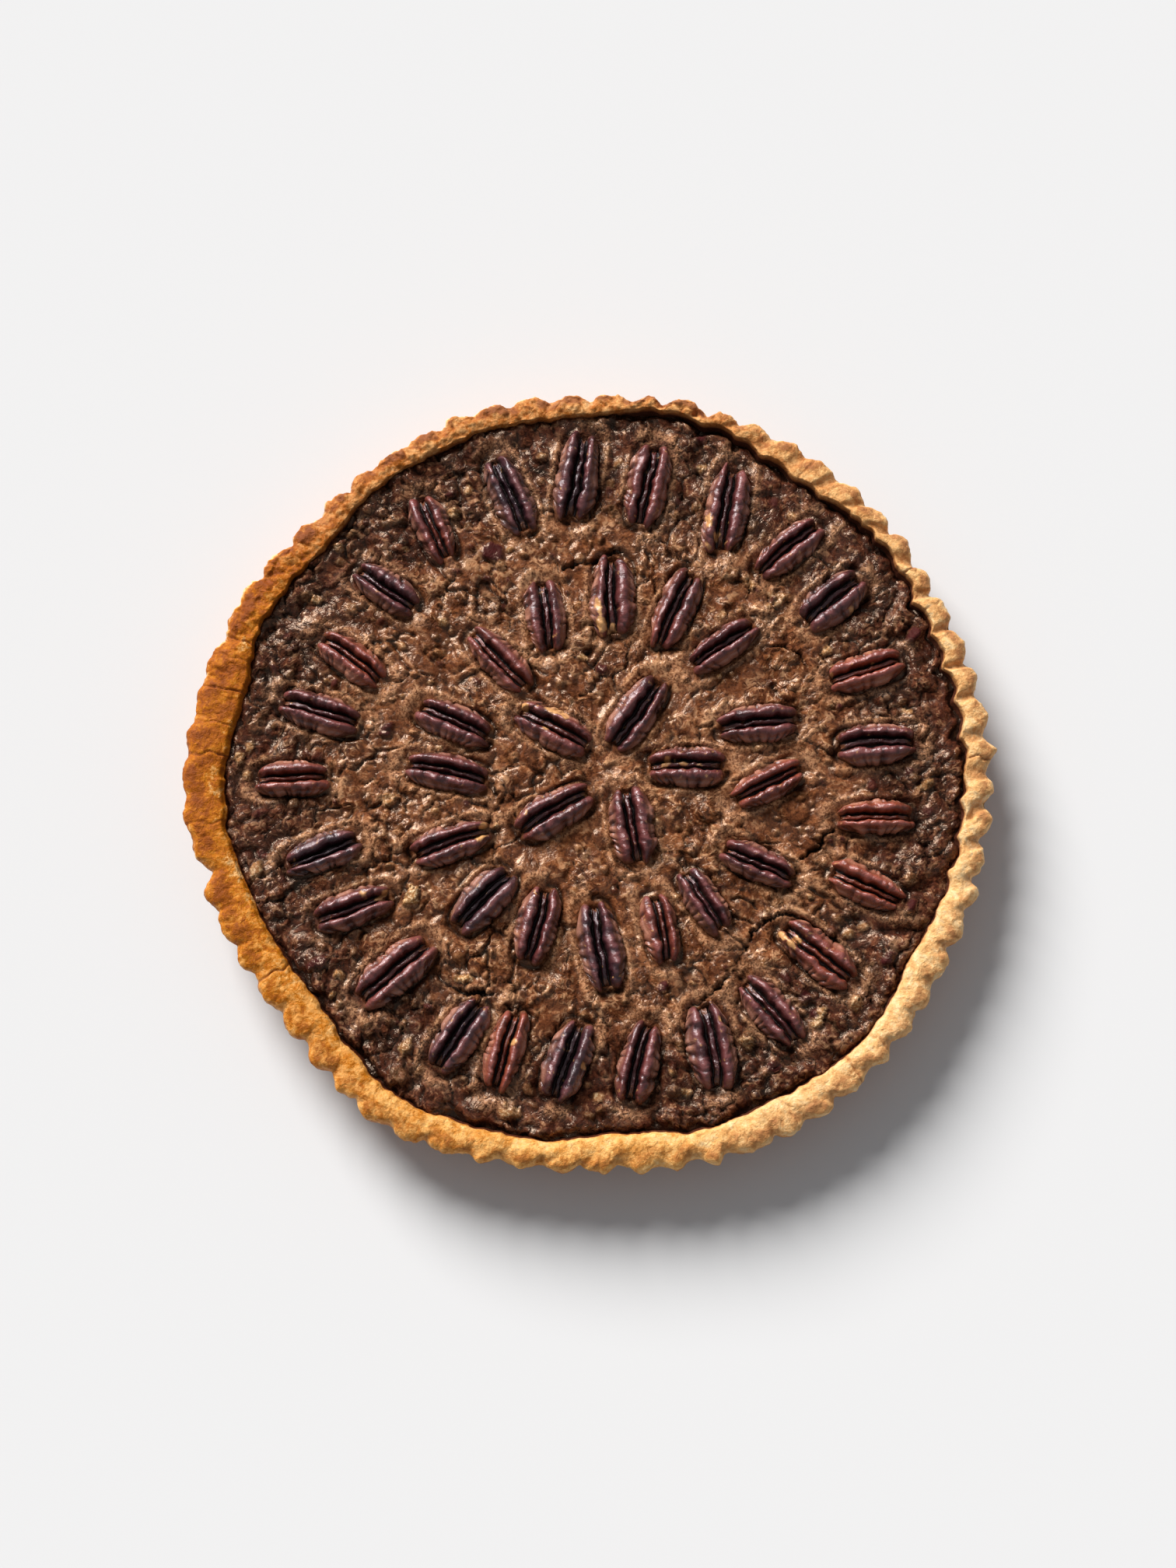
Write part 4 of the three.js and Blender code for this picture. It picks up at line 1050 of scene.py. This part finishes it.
def build_filling(material):
    """The set filling, out to the crust all round: a level underside, a short wall and a crackled top."""
    counts, shares = [FILLING_COLUMNS], [1.0]
    count = FILLING_COLUMNS
    for k in range(1, FILLING_RINGS):
        share = 1 - k / FILLING_RINGS
        if share * 2 < counts[-1] / FILLING_COLUMNS and count > 15:
            count //= 2
        counts.append(count)
        shares.append(share)
    points = [[[0.0, 0.0, FILLING_FLOOR_Z]]]
    wall_bearings = np.arange(FILLING_COLUMNS) * 360.0 / FILLING_COLUMNS
    low = along_ring(LIP, wall_bearings) - 4.6
    sx, sy = np.sin(np.radians(wall_bearings)), np.cos(np.radians(wall_bearings))
    points.append(np.stack([low * sx, low * sy, 0 * sx + FILLING_FLOOR_Z], 1))
    top = []
    for count, share in zip(counts, shares):
        b = np.arange(count) * 360.0 / count
        r = share * (along_ring(LIP, b) - 0.15)
        top.append(np.stack([r * np.sin(np.radians(b)), r * np.cos(np.radians(b))], 1))
    flat = np.concatenate(top + [[[0.0, 0.0]]])
    height, skin = filling_top(flat[:, 0], flat[:, 1])
    points.append(np.column_stack([flat, height]))
    hidden = np.zeros(1 + FILLING_COLUMNS)
    values = {name: np.concatenate([hidden, value]) for name, value in skin.items()}
    cloud = np.concatenate(points)
    faces = ring_faces([FILLING_COLUMNS] + counts)
    return make_piece("filling_top", cloud, faces, values, material, "filling", "filling")


# Floor, light and camera


def build_floor(material):
    mesh = bpy.data.meshes.new("floor")
    square = ((-1, -1), (1, -1), (1, 1), (-1, 1))
    corners = [(x * FLOOR_HALF, y * FLOOR_HALF, -FLOOR_DROP) for x, y in square]
    mesh.from_pydata(corners, [], [(0, 1, 2, 3)])
    mesh.materials.append(material)
    floor = bpy.data.objects.new("floor", mesh)
    bpy.context.scene.collection.objects.link(floor)


def build_light():
    sun = bpy.data.lights.new("window", "SUN")
    sun.energy = SUN_STRENGTH
    sun.angle = math.radians(SUN_SPREAD)
    sun.color = SUN_COLOUR
    lamp = bpy.data.objects.new("window", sun)
    bpy.context.scene.collection.objects.link(lamp)
    b, e = math.radians(SUN_BEARING), math.radians(SUN_ELEVATION)
    towards = Vector((math.sin(b) * math.cos(e), math.cos(b) * math.cos(e), math.sin(e)))
    lamp.rotation_mode = "QUATERNION"
    lamp.rotation_quaternion = towards.to_track_quat("Z", "Y")
    world = bpy.data.worlds.new("sky")
    world.use_nodes = True
    background = world.node_tree.nodes["Background"]
    background.inputs["Color"].default_value = (*SKY_COLOUR, 1.0)
    background.inputs["Strength"].default_value = SKY_STRENGTH
    bpy.context.scene.world = world


def build_camera():
    camera = bpy.data.cameras.new("camera")
    camera.sensor_width = SENSOR
    camera.lens = CAMERA_FOCAL_PX * SENSOR / PHOTO_LONG_SIDE_PX
    camera.clip_start, camera.clip_end = 0.05, 50.0
    eye = bpy.data.objects.new("camera", camera)
    bpy.context.scene.collection.objects.link(eye)
    e = math.radians(CAMERA_ELEVATION)
    back = Vector((0, -math.cos(e), math.sin(e)))
    eye.location = Vector(CAMERA_TARGET) + back * CAMERA_DISTANCE
    eye.rotation_mode = "QUATERNION"
    eye.rotation_quaternion = back.to_track_quat("Z", "Y")
    bpy.context.scene.camera = eye


def main():
    build_camera()
    build_light()
    build_floor(floor_material())
    build_crust(crust_material())
    build_filling(filling_material())
    skin = pecan_material()
    for number, node in enumerate(NUTS):
        build_nut(node, number, skin)
    scene = bpy.context.scene
    scene.view_settings.view_transform = "Standard"
    scene.view_settings.look = "None"


main()
